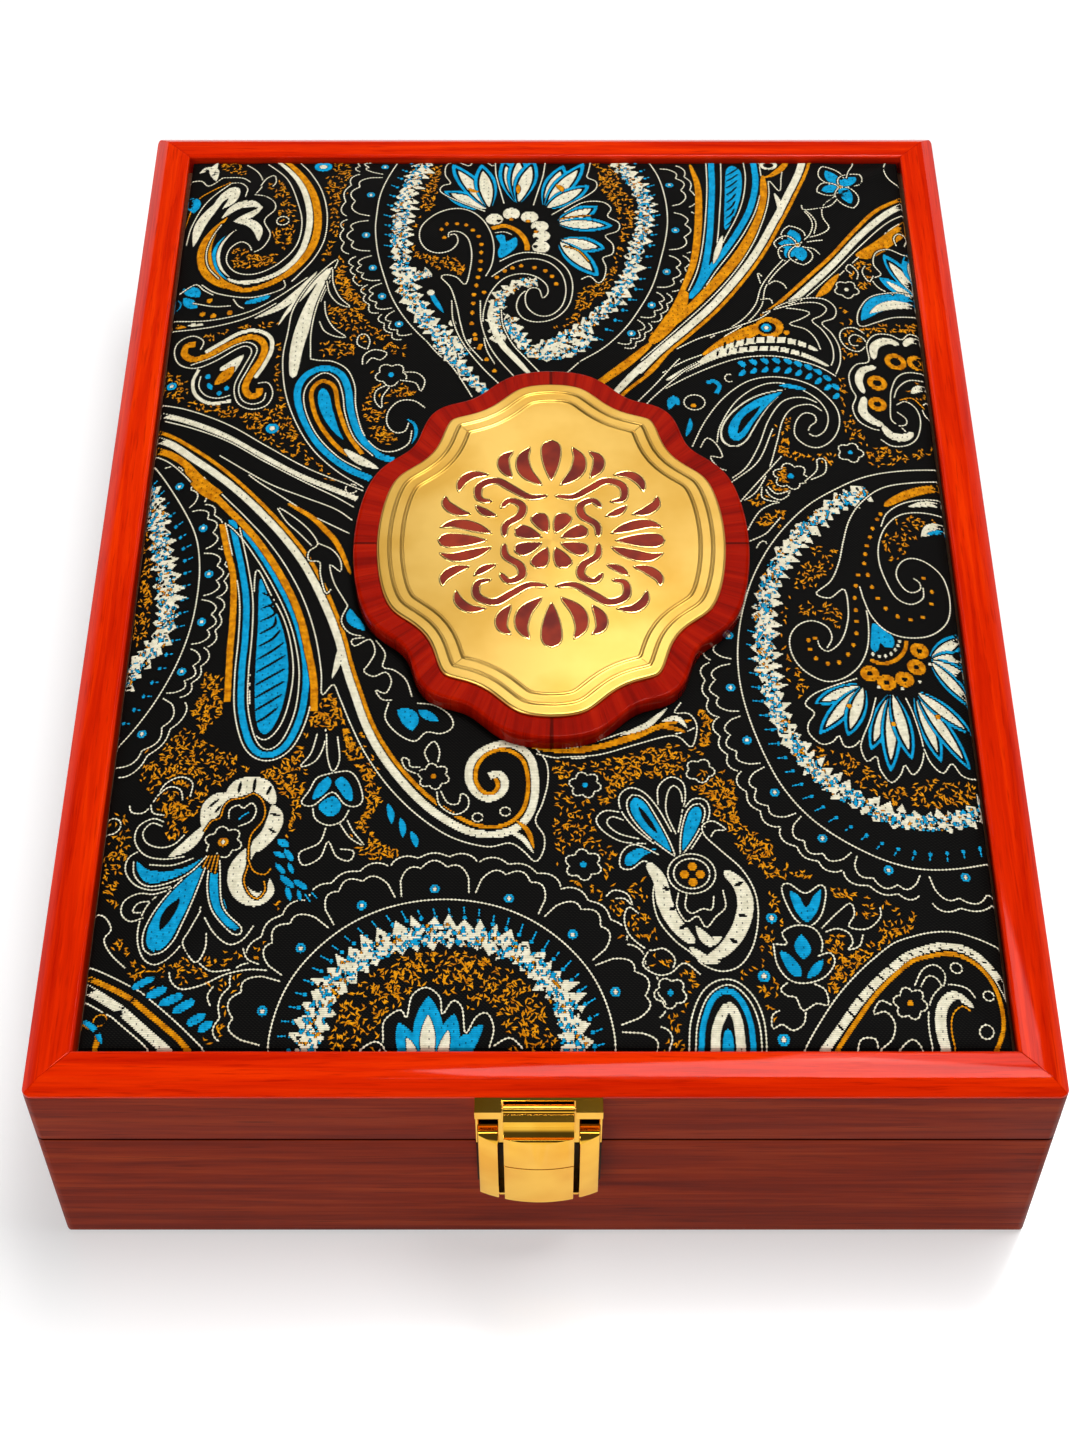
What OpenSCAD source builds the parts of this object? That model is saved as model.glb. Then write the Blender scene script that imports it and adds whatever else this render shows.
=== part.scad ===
// Lacquered wooden book box with a padded brocade lid, a scalloped medallion and a drop-hasp latch.
// Millimetres. The origin is the centre of the underside, +X right, +Y to the hinges, +Z up.

/* [Case] */
// outer width, left to right
case_w = 220; // [190:1:260]
// outer depth, front to back
case_d = 308; // [270:1:350]
// height of the base, from the table to the seam
base_h = 45; // [42:0.5:60]
// height of the lid, from the seam to the top of its frame
lid_h = 21; // [20:0.5:26]
// thickness of the walls
wall_t = 8; // [7.5:0.1:10]
// radius on the upright corners
corner_r = 2; // [1:0.1:4]
// radius on the lower outer edges
foot_r = 2; // [1:0.1:3]
// radius on the outer edges at the seam
seam_r = 0.6; // [0.3:0.1:1]
// thickness of the bottom panel
bottom_t = 4; // [3:0.1:6]
// width of the rebate that the bottom panel sits in
bottom_lap = 4; // [3:0.1:5]
// gap around boards that drop into the case
board_fit = 0.1; // [0.05:0.05:0.3]

/* [Lining] */
// thickness of the velvet-covered lining boards
liner_t = 1.5; // [1:0.1:2.5]
// thickness of the velvet floor pad
floor_t = 2; // [1:0.1:4]
// drop of the lining boards below the rim
liner_drop = 1; // [0.5:0.1:3]
// thickness of the lining board in the lid
lid_lining_t = 1.5; // [1:0.1:2.5]

/* [Lid frame] */
// width of the frame rails, seen from above
rail_w = 10; // [9:0.1:12]
// thickness of the rails over the walls
rail_t = 3; // [2.6:0.1:4]
// width of the bevel on the outer edge
bevel_w = 3.5; // [2:0.1:5]
// fall of the bevel on the outer edge
bevel_h = 2.2; // [1.5:0.1:2.5]
// radius on the inner edge of the rails
rail_r = 0.8; // [0.4:0.1:1.5]
// depth of the tongue inside the walls, below the rails
tongue_h = 3; // [2:0.1:4]
// thickness of the board under the pad
panel_t = 3; // [2:0.1:4]

/* [Pad] */
// gap between the pad and the frame
pad_fit = 0.3; // [0.2:0.05:0.6]
// drop of the pad's edge below the top of the frame
pad_drop = 1; // [0.5:0.1:2]
// rise of the pad from its edge to its flat middle
crown_rise = 4; // [2:0.1:6]
// distance over which the pad rises
crown_run = 24; // [15:0.5:30]
// radius of the roll at the pad's edge
roll_r = 2; // [1.2:0.1:3]
// thickness of the brocade
cloth_t = 0.6; // [0.4:0.05:1]
// gap between the brocade and the foam
cloth_gap = 0.2; // [0.1:0.05:0.4]

/* [Medallion] */
// width of the wooden plaque
plaque_w = 96; // [80:1:110]
// length of the wooden plaque
plaque_l = 118.4; // [100:0.2:130]
// thickness of the wooden plaque
plaque_t = 4.2; // [3.5:0.1:6]
// distance of the medallion to the right of the middle of the lid
plaque_x = 1.5; // [-5:0.1:5]
// distance of the medallion in front of the middle of the lid
plaque_y = 7.6; // [0:0.1:20]
// radius on the plaque's upper edge
plaque_r = 0.6; // [0.3:0.1:1]
// thickness of the gold plate
plate_t = 1; // [0.8:0.05:1.5]
// width of the wooden border around the plate
border_w = 5.8; // [4:0.1:9]
// chamfer on the plate's edge
plate_chamfer = 0.4; // [0.2:0.05:0.6]
// height of the raised lines on the plate
line_h = 0.35; // [0.2:0.05:0.6]
// width of the raised lines at their foot
line_w = 0.8; // [0.6:0.05:1.2]
// distance of the outer raised line from the plate's edge
line_1 = 2.7; // [2:0.1:3]
// distance of the inner raised line from the plate's edge
line_2 = 5.7; // [5:0.1:7]
// angle of the eight-lobed outline's side valleys
valley_1_a = 37.5; // [34:0.5:40]
// depth of the side valleys, as a share of the radius
valley_1 = 0.095; // [0.05:0.005:0.1]
// angle of the outline's end valleys
valley_2_a = 64; // [60:0.5:67]
// depth of the end valleys, as a share of the radius
valley_2 = 0.07; // [0.03:0.005:0.08]
// spread of the valleys in degrees
valley_s = 10; // [8:0.1:11]
// distance of the two medallion screws from its middle
plaque_screw_y = 30; // [20:1:40]
// radius of the medallion screws
plaque_screw_r = 1.5; // [1.2:0.1:2]
// bite of the medallion screws in the plaque
plaque_bite = 3; // [2:0.1:3.3]

/* [Hinges] */
// distance of each hinge from the middle of the back
hinge_x = 66; // [50:1:75]
// length of a hinge
hinge_l = 28; // [24:1:36]
// distance of the hinge axis from the back face
hinge_in = 2.5; // [2.3:0.1:3]
// radius of the hinge knuckles
knuckle_r = 2; // [1.8:0.1:2.2]
// radius of the hinge pins
pin_r = 0.9; // [0.7:0.05:1.1]
// running clearance of the pins
pin_fit = 0.05; // [0.03:0.01:0.08]
// thickness of a hinge leaf
leaf_t = 1.2; // [1:0.1:1.5]
// reach of a leaf from the axis
leaf_l = 5.1; // [4.8:0.1:5.3]
// gap between the closed leaves
leaf_gap = 0.2; // [0.1:0.05:0.4]
// gap around the knuckles and between them
knuckle_gap = 0.3; // [0.2:0.05:0.5]
// angle of the stop bevels along the back edges
stop_a = 50; // [46:0.5:55]
// set-back of the stop bevels from the axis
stop_gap = 0.15; // [0.1:0.05:0.3]
// distance of the hinge screws from the axis
hinge_screw_in = 3.65; // [3.5:0.05:3.8]
// distance of the hinge screws from the middle of the hinge
hinge_screw_x = 9; // [8:0.5:10]
// radius of the hinge screws
hinge_screw_r = 0.8; // [0.6:0.05:1]
// radius of the hinge screw heads
hinge_head_r = 1.3; // [1.1:0.05:1.35]
// length of the hinge screws
hinge_screw_l = 8; // [6:0.5:10]

/* [Latch] */
// distance of the latch to the right of the middle of the front
latch_x = -1.4; // [-5:0.1:5]
// width of the latch plates
latch_w = 27; // [26.6:0.1:28]
// thickness of the latch plates
latch_t = 0.8; // [0.6:0.1:0.9]
// distance of the latch's lower end below the seam
latch_low = 17; // [16:0.1:20]
// distance of the latch's upper end above the seam
latch_high = 18.6; // [18.4:0.1:18.7]
// gap from each latch plate to the seam
latch_seam = 0.3; // [0.2:0.1:0.6]
// farthest reach of the latch in front of the case
bow_p = 6.4; // [6.2:0.1:7]
// radius of the bowed front of the latch
bow_r = 34; // [30:1:40]
// half width of the hasp and of the catch block
hasp_hw = 7.5; // [7.2:0.1:7.6]
// height of the hasp's lower end below the seam
hasp_low = 1.4; // [1:0.1:3]
// gap between the hasp and the catch block
hasp_gap = 0.3; // [0.2:0.05:0.6]
// gap behind the hasp and the posts
back_gap = 0.5; // [0.4:0.1:0.8]
// height of the hasp's lip above the seam
lip_h = 10.6; // [10:0.1:12]
// reach of the hasp's lip
lip_p = 5.2; // [5:0.1:5.4]
// radius of the hasp's front edge at the lip
lip_r = 1; // [0.6:0.1:1]
// hollow of the finger scoop
scoop = 1.2; // [0.6:0.1:1.6]
// width of each end knuckle of the latch
ear_w = 5.7; // [5.4:0.1:5.8]
// reach of the end knuckles
ear_p = 3.6; // [3.3:0.1:3.8]
// height of the end knuckles
ear_h = 2.8; // [2.6:0.1:3.2]
// reach of the latch pin's axis
latch_pin_p = 2.2; // [2.2:0.1:2.4]
// drop of the latch pin's axis below the latch's upper end
latch_pin_drop = 1.2; // [1.2:0.1:1.4]
// radius of the latch pin
latch_pin_r = 0.55; // [0.4:0.05:0.6]
// radius of the hasp's knuckle
hasp_knuckle_r = 1.1; // [0.95:0.05:1.1]
// half distance between the posts
post_in = 8.6; // [8.4:0.1:9]
// width of a post
post_w = 4.5; // [4.2:0.1:4.7]
// height of the posts above the seam
post_h = 9.6; // [8:0.1:11]
// radius of the posts' rounded tops
post_r = 3.6; // [3.5:0.1:4.2]
// chamfer along the front edges of the posts
post_c = 0.6; // [0.3:0.1:0.8]
// half width of the catch spring
spring_hw = 3.5; // [3:0.1:3.8]
// thickness of the catch spring
spring_t = 0.5; // [0.4:0.05:0.6]
// reach of the catch spring's back face
spring_p = 2.1; // [1.9:0.1:2.2]
// height of the catch spring's foot above the latch's lower end
spring_foot = 4; // [3:0.1:6]
// height of the catch spring's hook above the seam
hook_h = 2; // [1.8:0.1:2.4]
// reach of the hook from the spring's front
hook_p = 1.2; // [0.8:0.1:1.3]
// gap around the catch spring in the block and the hasp
spring_fit = 0.3; // [0.2:0.05:0.4]
// half distance between the latch screws of the base
base_screw_x = 5.6; // [5.4:0.1:5.8]
// drop of those screws below the seam
base_screw_h = 10; // [8:0.5:12]
// radius of those screws
base_screw_r = 1.25; // [1:0.05:1.4]
// radius of their heads
base_head_r = 2.2; // [1.9:0.1:2.5]
// height of their heads
base_head_h = 1.6; // [1.2:0.1:2]
// bite of those screws in the catch block
base_bite = 3; // [2:0.1:3.5]
// half distance between the latch screws of the lid
lid_screw_x = 4; // [3:0.1:5]
// height of those screws above the seam
lid_screw_h = 7.5; // [6:0.5:9]
// radius of those screws
lid_screw_r = 1; // [0.8:0.05:1.2]
// radius of their heads
lid_head_r = 1.6; // [1.4:0.05:1.75]
// length of those screws
lid_screw_l = 6.5; // [5:0.1:7]
// gap around every screw
screw_fit = 0.05; // [0.03:0.01:0.1]

/* [Hidden] */
$fn = 48;
e = 5;
top_z = base_h + lid_h;
rail_z = top_z - rail_t;
panel_z = rail_z - tongue_h;
lining_z = panel_z - panel_t;
inner_w = case_w - 2 * wall_t;
inner_d = case_d - 2 * wall_t;
mitre_m = rail_w + e;
floor_z = bottom_t;
liner_z = floor_z + floor_t;
liner_top = base_h - liner_drop;
pad_hx = case_w / 2 - rail_w - pad_fit;
pad_hy = case_d / 2 - rail_w - pad_fit;
pad_top = top_z - pad_drop + crown_rise;
crown_r = (crown_run * crown_run + crown_rise * crown_rise) / (2 * crown_rise);
roll_dz = sqrt(pow(crown_r - roll_r, 2) - pow(crown_run - roll_r, 2));
foam_in = cloth_t + cloth_gap;
plaque_top = pad_top + plaque_t;
axis_y = case_d / 2 - hinge_in;
leaf_out = leaf_gap / 2 + leaf_t;
mid_kn = hinge_l / 3;
front_y = -case_d / 2;
low_z = base_h - latch_low;
high_z = base_h + latch_high;
pin_z = high_z - latch_pin_drop;
hasp_z = base_h - hasp_low;
block_z = hasp_z - hasp_gap;
back_p = latch_t + back_gap;
lip_z = base_h + lip_h;
scoop_top = [latch_pin_p + 0.8 * hasp_knuckle_r, pin_z];
scoop_lip = [lip_p, lip_z - 0.2];
scoop_d = scoop_top - scoop_lip;
scoop_c = norm(scoop_d);
scoop_r = scoop_c * scoop_c / (8 * scoop) + scoop / 2;
scoop_n = [scoop_d[1], -scoop_d[0]] / scoop_c;
scoop_o = (scoop_top + scoop_lip) / 2 + scoop_n * (scoop_r - scoop);
ear_in = latch_w / 2 - ear_w;
spring_f = spring_p + spring_t;
hook_z = base_h + hook_h;
spring_top = hook_z + 2.4;
lines = 96;

lacquer = [0.72, 0.16, 0.06];
walnut = [0.45, 0.20, 0.14];
board = [0.62, 0.48, 0.33];
velvet = [0.30, 0.03, 0.05];
gold = [0.85, 0.65, 0.25];
brass = [0.75, 0.58, 0.25];
steel = [0.70, 0.70, 0.72];
foam = [0.90, 0.85, 0.65];
brocade = [0.10, 0.10, 0.12];
rosewood = [0.50, 0.08, 0.04];

// outline of the case from above, with rounded corners
module plan() {
  square([case_w - 2 * corner_r, case_d], center = true);
  square([case_w, case_d - 2 * corner_r], center = true);
  for (x = [-1, 1]) {
    for (y = [-1, 1]) {
      translate([x * (case_w / 2 - corner_r), y * (case_d / 2 - corner_r)]) circle(r = corner_r);
    }
  }
}

// the front quarter of the plan, between the two mitres
module mitre_front() {
  polygon([
    [-case_w / 2 - e, -case_d / 2 - e],
    [case_w / 2 + e, -case_d / 2 - e],
    [case_w / 2 - mitre_m, -case_d / 2 + mitre_m],
    [-case_w / 2 + mitre_m, -case_d / 2 + mitre_m]
  ]);
}

// the left quarter of the plan, between the two mitres
module mitre_left() {
  polygon([
    [-case_w / 2 - e, -case_d / 2 - e],
    [-case_w / 2 + mitre_m, -case_d / 2 + mitre_m],
    [-case_w / 2 + mitre_m, case_d / 2 - mitre_m],
    [-case_w / 2 - e, case_d / 2 + e]
  ]);
}

// a profile of depth from the outer face and height, run along the front and mitred
module edge_front() {
  intersection() {
    translate([-case_w / 2 - e, -case_d / 2, 0])
      rotate([90, 0, 90])
        linear_extrude(height = case_w + 2 * e) children();
    translate([0, 0, -e])
      linear_extrude(height = top_z + 2 * e)
        intersection() {
          plan();
          mitre_front();
        }
  }
}

// the same profile run along the left side and mitred
module edge_left() {
  intersection() {
    translate([-case_w / 2, case_d / 2 + e, 0])
      rotate([90, 0, 0])
        linear_extrude(height = case_d + 2 * e) children();
    translate([0, 0, -e])
      linear_extrude(height = top_z + 2 * e)
        intersection() {
          plan();
          mitre_left();
        }
  }
}

// section of a wall from z0 to z1 with its two outer edges rounded
module wall_section(z0, z1, r_low, r_high) {
  difference() {
    translate([0, z0]) square([wall_t, z1 - z0]);
    translate([-e, z0 - e]) square([e + r_low, e + r_low]);
    translate([-e, z1 - r_high]) square([e + r_high, e + r_high]);
  }
  translate([r_low, z0 + r_low]) circle(r = r_low);
  translate([r_high, z1 - r_high]) circle(r = r_high);
}

module base_section() {
  difference() {
    wall_section(0, base_h, foot_r, seam_r);
    translate([wall_t - bottom_lap, -e]) square([bottom_lap + e, bottom_t + e]);
  }
}

module lid_section() {
  difference() {
    translate([0, base_h]) square([wall_t, rail_z - base_h]);
    translate([-e, base_h - e]) square([e + seam_r, e + seam_r]);
  }
  translate([seam_r, base_h + seam_r]) circle(r = seam_r);
}

module rail_section() {
  difference() {
    polygon([
      [0, rail_z],
      [0, top_z - bevel_h],
      [bevel_w, top_z],
      [rail_w, top_z],
      [rail_w, panel_z],
      [wall_t, panel_z],
      [wall_t, rail_z]
    ]);
    translate([rail_w - rail_r, top_z - rail_r])
      difference() {
        square([e, e]);
        circle(r = rail_r);
      }
  }
}

// wedges cut along the back edges so that the open lid stops against the base
module stop_cut(up) {
  reach = hinge_in + stop_gap + e;
  translate([-case_w / 2 - e, axis_y - stop_gap, base_h])
    rotate([90, 0, 90])
      linear_extrude(height = case_w + 2 * e)
        polygon([[0, 0], [reach, up * reach * tan(stop_a)], [reach, -up * e], [0, -up * e]]);
}

// the latch is built about X = 0 and moved to its place
module at_latch() {
  translate([latch_x, 0, 0]) children();
}

module at_hinge(side) {
  translate([side * hinge_x, axis_y, base_h]) children();
}

// a cylinder along X, centred on the hinge axis
module barrel(r, l) {
  rotate([0, 90, 0]) cylinder(r = r, h = l, center = true);
}

// recess for one leaf and for the turning knuckles, below the seam for up -1 and above it for up 1
module mortise(up) {
  l = hinge_l + 2 * board_fit;
  z0 = up > 0 ? -e : -leaf_out;
  translate([-l / 2, -leaf_l - board_fit, z0]) cube([l, leaf_l + board_fit, leaf_out + e]);
  barrel(knuckle_r + knuckle_gap, l + knuckle_gap);
}

// countersunk screw hanging from the plane z = 0, made larger by grow
module sunk_screw(r, head_r, l, grow) {
  translate([0, 0, -l - grow]) cylinder(r = r + grow, h = l + grow);
  translate([0, 0, r - head_r]) cylinder(r1 = r + grow, r2 = head_r + grow, h = head_r - r);
}

module hinge_screw_set(up, grow) {
  for (side = [-1, 1]) {
    for (x = [-1, 1]) {
      at_hinge(side)
        translate([x * hinge_screw_x, -hinge_screw_in, up * leaf_gap / 2])
          rotate([up > 0 ? 180 : 0, 0, 0])
            sunk_screw(hinge_screw_r, hinge_head_r, hinge_screw_l, grow);
    }
  }
}

module hinge_cuts(up) {
  for (side = [-1, 1]) {
    at_hinge(side) mortise(up);
  }
  hinge_screw_set(up, screw_fit);
}

// catch block screws, entered from inside the front wall
module base_screw_set(grow) {
  for (x = [-1, 1]) {
    translate([x * base_screw_x, front_y + wall_t, base_h - base_screw_h])
      rotate([90, 0, 0]) {
        cylinder(r = base_screw_r + grow, h = wall_t + latch_t + base_bite + grow);
        translate([0, 0, -grow]) cylinder(r = base_head_r + grow, h = base_head_h + grow);
      }
  }
}

module lid_screw_set(grow) {
  for (x = [-1, 1]) {
    translate([x * lid_screw_x, front_y - latch_t, base_h + lid_screw_h])
      rotate([90, 0, 0])
        sunk_screw(lid_screw_r, lid_head_r, lid_screw_l, grow);
  }
}

module plaque_screw_set(grow) {
  for (y = [-1, 1]) {
    translate([plaque_x, y * plaque_screw_y - plaque_y, lining_z])
      mirror([0, 0, 1])
        sunk_screw(plaque_screw_r, plaque_screw_r + 1, pad_top - lining_z + plaque_bite, grow);
  }
}

module base_front_wall() {
  color(walnut)
    difference() {
      edge_front() base_section();
      at_latch() base_screw_set(screw_fit);
    }
}

module base_back_wall() {
  color(walnut)
    difference() {
      mirror([0, 1, 0]) edge_front() base_section();
      stop_cut(-1);
      hinge_cuts(-1);
    }
}

module base_left_wall() {
  color(walnut)
    difference() {
      edge_left() base_section();
      stop_cut(-1);
    }
}

module base_right_wall() {
  color(walnut)
    difference() {
      mirror([1, 0, 0]) edge_left() base_section();
      stop_cut(-1);
    }
}

module base_bottom_panel() {
  w = inner_w + 2 * bottom_lap - 2 * board_fit;
  d = inner_d + 2 * bottom_lap - 2 * board_fit;
  color(board) translate([-w / 2, -d / 2, 0]) cube([w, d, bottom_t]);
}

module floor_pad() {
  w = inner_w - 2 * board_fit;
  d = inner_d - 2 * board_fit;
  color(velvet) translate([-w / 2, -d / 2, floor_z]) cube([w, d, floor_t]);
}

module liner_front() {
  w = inner_w - 2 * board_fit;
  color(velvet)
    translate([-w / 2, -inner_d / 2 + board_fit, liner_z]) cube([w, liner_t, liner_top - liner_z]);
}

module liner_back() {
  color(velvet) mirror([0, 1, 0]) liner_front();
}

module liner_left() {
  d = inner_d - 4 * board_fit - 2 * liner_t;
  color(velvet)
    translate([-inner_w / 2 + board_fit, -d / 2, liner_z]) cube([liner_t, d, liner_top - liner_z]);
}

module liner_right() {
  color(velvet) mirror([1, 0, 0]) liner_left();
}

// lower leaf: the two outer knuckles
module hinge_base_leaf() {
  color(brass)
    difference() {
      union() {
        translate([-hinge_l / 2, -leaf_l, -leaf_out]) cube([hinge_l, leaf_l, leaf_t]);
        barrel(knuckle_r, hinge_l);
      }
      barrel(pin_r + pin_fit, hinge_l + 1);
      barrel(knuckle_r + knuckle_gap, mid_kn + knuckle_gap);
      for (x = [-1, 1]) {
        translate([x * hinge_screw_x, -hinge_screw_in, -leaf_gap / 2])
          sunk_screw(hinge_screw_r, hinge_head_r, leaf_t + 1, screw_fit);
      }
    }
}

// upper leaf: the middle knuckle
module hinge_lid_leaf() {
  color(brass)
    difference() {
      union() {
        translate([-hinge_l / 2, -leaf_l, leaf_gap / 2]) cube([hinge_l, leaf_l, leaf_t]);
        barrel(knuckle_r, mid_kn);
      }
      barrel(pin_r + pin_fit, hinge_l + 1);
      for (x = [-1, 1]) {
        translate([x * (mid_kn / 2 + hinge_l / 2), 0, 0])
          barrel(knuckle_r + knuckle_gap, hinge_l);
        translate([x * hinge_screw_x, -hinge_screw_in, leaf_gap / 2])
          mirror([0, 0, 1])
            sunk_screw(hinge_screw_r, hinge_head_r, leaf_t + 1, screw_fit);
      }
    }
}

module hinge_base_leaf_left() {
  at_hinge(-1) hinge_base_leaf();
}

module hinge_base_leaf_right() {
  at_hinge(1) hinge_base_leaf();
}

module hinge_lid_leaf_left() {
  at_hinge(-1) hinge_lid_leaf();
}

module hinge_lid_leaf_right() {
  at_hinge(1) hinge_lid_leaf();
}

module hinge_pins() {
  color(brass) {
    for (side = [-1, 1]) {
      at_hinge(side) barrel(pin_r, hinge_l);
    }
  }
}

module hinge_base_screws() {
  color(brass) hinge_screw_set(-1, 0);
}

module hinge_lid_screws() {
  color(brass) hinge_screw_set(1, 0);
}

// a profile of reach in front of the case and height, run w wide across the middle of the front
module front_prism(w) {
  translate([w / 2, front_y, 0])
    rotate([90, 0, -90])
      linear_extrude(height = w) children();
}

// upright cylinder that gives the whole latch its bowed front
module bow() {
  translate([0, front_y - bow_p + bow_r, low_z - e])
    cylinder(r = bow_r, h = latch_low + latch_high + 2 * e, $fn = 96);
}

module latch_base_plate() {
  color(gold)
    at_latch() difference() {
      front_prism(latch_w) translate([0, low_z]) square([latch_t, latch_low - latch_seam]);
      base_screw_set(screw_fit);
    }
}

module latch_catch_block() {
  color(gold)
    at_latch() difference() {
      intersection() {
        front_prism(2 * hasp_hw) translate([latch_t, low_z]) square([bow_p, block_z - low_z]);
        bow();
      }
      front_prism(2 * (spring_hw + spring_fit))
        translate([spring_p - 0.1, low_z + spring_foot]) square([spring_t + 0.2, latch_low]);
      base_screw_set(screw_fit);
    }
}

// one guide post: it stands on the base plate and rises clear of the lid plate
module post() {
  low = base_h - latch_seam;
  intersection() {
    bow();
    translate([post_in + post_w / 2, 0, 0])
      front_prism(post_w) {
        translate([latch_t, low_z]) square([bow_p, low - low_z]);
        translate([back_p, low_z]) square([bow_p, base_h + post_h - post_r - low_z]);
        intersection() {
          translate([back_p + 0.6, base_h + post_h - post_r]) circle(r = post_r);
          translate([back_p, low_z]) square([bow_p, latch_low + latch_high]);
        }
      }
    translate([0, front_y, low_z - e])
      mirror([0, 1, 0])
        linear_extrude(height = latch_low + latch_high + 2 * e)
          polygon([
            [post_in, 0],
            [post_in, bow_p - 1.8],
            [post_in + post_c, bow_p],
            [post_in + post_w - post_c, bow_p],
            [post_in + post_w, bow_p - 3.6],
            [post_in + post_w, 0]
          ]);
  }
}

module latch_posts() {
  color(gold) {
    at_latch() post();
    at_latch() mirror([1, 0, 0]) post();
  }
}

module latch_spring() {
  color(steel)
    at_latch() front_prism(2 * spring_hw)
      polygon([
        [spring_p, low_z + spring_foot],
        [spring_f, low_z + spring_foot],
        [spring_f, hook_z],
        [spring_f + hook_p, hook_z + 0.4],
        [spring_f + hook_p, hook_z + 0.8],
        [spring_f, spring_top],
        [spring_p, spring_top]
      ]);
}

module latch_base_screws() {
  color(steel) at_latch() base_screw_set(0);
}

module lid_front_wall() {
  color(walnut)
    difference() {
      edge_front() lid_section();
      at_latch() lid_screw_set(screw_fit);
    }
}

module lid_back_wall() {
  color(walnut)
    difference() {
      mirror([0, 1, 0]) edge_front() lid_section();
      stop_cut(1);
      hinge_cuts(1);
    }
}

module lid_left_wall() {
  color(walnut)
    difference() {
      edge_left() lid_section();
      stop_cut(1);
    }
}

module lid_right_wall() {
  color(walnut)
    difference() {
      mirror([1, 0, 0]) edge_left() lid_section();
      stop_cut(1);
    }
}

module frame_front() {
  color(lacquer) edge_front() rail_section();
}

module frame_back() {
  color(lacquer) mirror([0, 1, 0]) edge_front() rail_section();
}

module frame_left() {
  color(lacquer) edge_left() rail_section();
}

module frame_right() {
  color(lacquer) mirror([1, 0, 0]) edge_left() rail_section();
}

module lid_panel() {
  w = inner_w - 2 * board_fit;
  d = inner_d - 2 * board_fit;
  color(board)
    difference() {
      translate([-w / 2, -d / 2, lining_z]) cube([w, d, panel_t]);
      plaque_screw_set(screw_fit);
    }
}

module lid_lining() {
  w = inner_w - 2 * board_fit;
  d = inner_d - 2 * board_fit;
  color(velvet) translate([-w / 2, -d / 2, lining_z - lid_lining_t]) cube([w, d, lid_lining_t]);
}

// section of the pad: flat middle, long rise and rolled edge, all set in by the same distance
module pad_section(half, inset) {
  flat = half - crown_run;
  r = crown_r - inset;
  big_z = pad_top - crown_r;
  tip = (crown_run - roll_r) * r / (crown_r - roll_r);
  for (side = [0, 1]) {
    mirror([side, 0]) {
      translate([0, panel_z]) square([flat, pad_top - inset - panel_z]);
      intersection() {
        translate([flat, big_z]) circle(r = r, $fn = 180);
        translate([flat, panel_z]) square([tip, pad_top - panel_z]);
      }
      intersection() {
        translate([half - roll_r, big_z + roll_dz]) circle(r = roll_r - inset);
        translate([flat, panel_z]) square([half, pad_top]);
      }
      translate([flat, panel_z]) square([crown_run - inset, big_z + roll_dz - panel_z]);
    }
  }
}

// the pad is where the lengthwise and the crosswise sections meet
module pad_form(inset) {
  intersection() {
    translate([0, pad_hy - inset, 0])
      rotate([90, 0, 0])
        linear_extrude(height = 2 * (pad_hy - inset)) pad_section(pad_hx, inset);
    translate([-pad_hx + inset, 0, 0])
      rotate([90, 0, 90])
        linear_extrude(height = 2 * (pad_hx - inset)) pad_section(pad_hy, inset);
  }
}

module foam_pad() {
  color(foam)
    difference() {
      pad_form(foam_in);
      plaque_screw_set(screw_fit);
    }
}

module brocade_cover() {
  color(brocade)
    difference() {
      pad_form(0);
      pad_form(cloth_t);
      plaque_screw_set(screw_fit);
    }
}

// eight-lobed outline of the medallion: an oval with two valleys beside each shoulder lobe
function bell(a, s) = exp(-pow(a / s, 2));
function fold(a) = a > 270 ? 360 - a : a > 180 ? a - 180 : a > 90 ? 180 - a : a;
function lobe(a) =
  1 - valley_1 * bell(a - valley_1_a, valley_s) - valley_2 * bell(a - valley_2_a, valley_s);
function rim(a) = lobe(fold(a)) * [plaque_w / 2 * cos(a), plaque_l / 2 * sin(a)];
function out(a) =
  let (d = rim(a + 0.5) - rim(a - 0.5))
    [d[1], -d[0]] / norm(d);
function wrap(a) = a < 0 ? a + 360 : a >= 360 ? a - 360 : a;
function at(i) = wrap(360 * (i + 0.5) / lines);
function inset_rim(inset) = [for (i = [0 : lines - 1]) rim(at(i)) - inset * out(at(i))];

// closed solid from a list of rings, each an inset from the outline and a height
module ringed(rings) {
  n = len(rings);
  points = [for (k = [0 : n - 1]) for (p = inset_rim(rings[k][0])) [p[0] + plaque_x, p[1] - plaque_y, rings[k][1]]];
  sides = [
    for (k = [0 : n - 2]) for (i = [0 : lines - 1]) for (h = [0, 1])
      let (a = k * lines + i, b = k * lines + (i + 1) % lines)
        h == 0 ? [a, a + lines, b] : [b, a + lines, b + lines]
  ];
  low = [[for (i = [0 : lines - 1]) i]];
  high = [[for (i = [0 : lines - 1]) n * lines - 1 - i]];
  polyhedron(points = points, faces = concat(low, sides, high), convexity = 6);
}

module medallion_plaque() {
  r = plaque_r;
  color(rosewood)
    difference() {
      ringed([
        [0, pad_top],
        [0, plaque_top - r],
        [r * (1 - cos(30)), plaque_top - r * (1 - sin(30))],
        [r * (1 - cos(60)), plaque_top - r * (1 - sin(60))],
        [r, plaque_top]
      ]);
      plaque_screw_set(screw_fit);
    }
}

module medallion_plate() {
  z0 = plaque_top;
  z1 = plaque_top + plate_t;
  z2 = z1 + line_h;
  a = border_w;
  b1 = border_w + line_1;
  b2 = border_w + line_2;
  color(gold)
    ringed([
      [a, z0],
      [a, z1 - plate_chamfer],
      [a + plate_chamfer, z1],
      [b1, z1],
      [b1 + line_w / 2, z2],
      [b1 + line_w, z1],
      [b2, z1],
      [b2 + line_w / 2, z2],
      [b2 + line_w, z1]
    ]);
}

module medallion_screws() {
  color(steel) plaque_screw_set(0);
}

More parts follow.
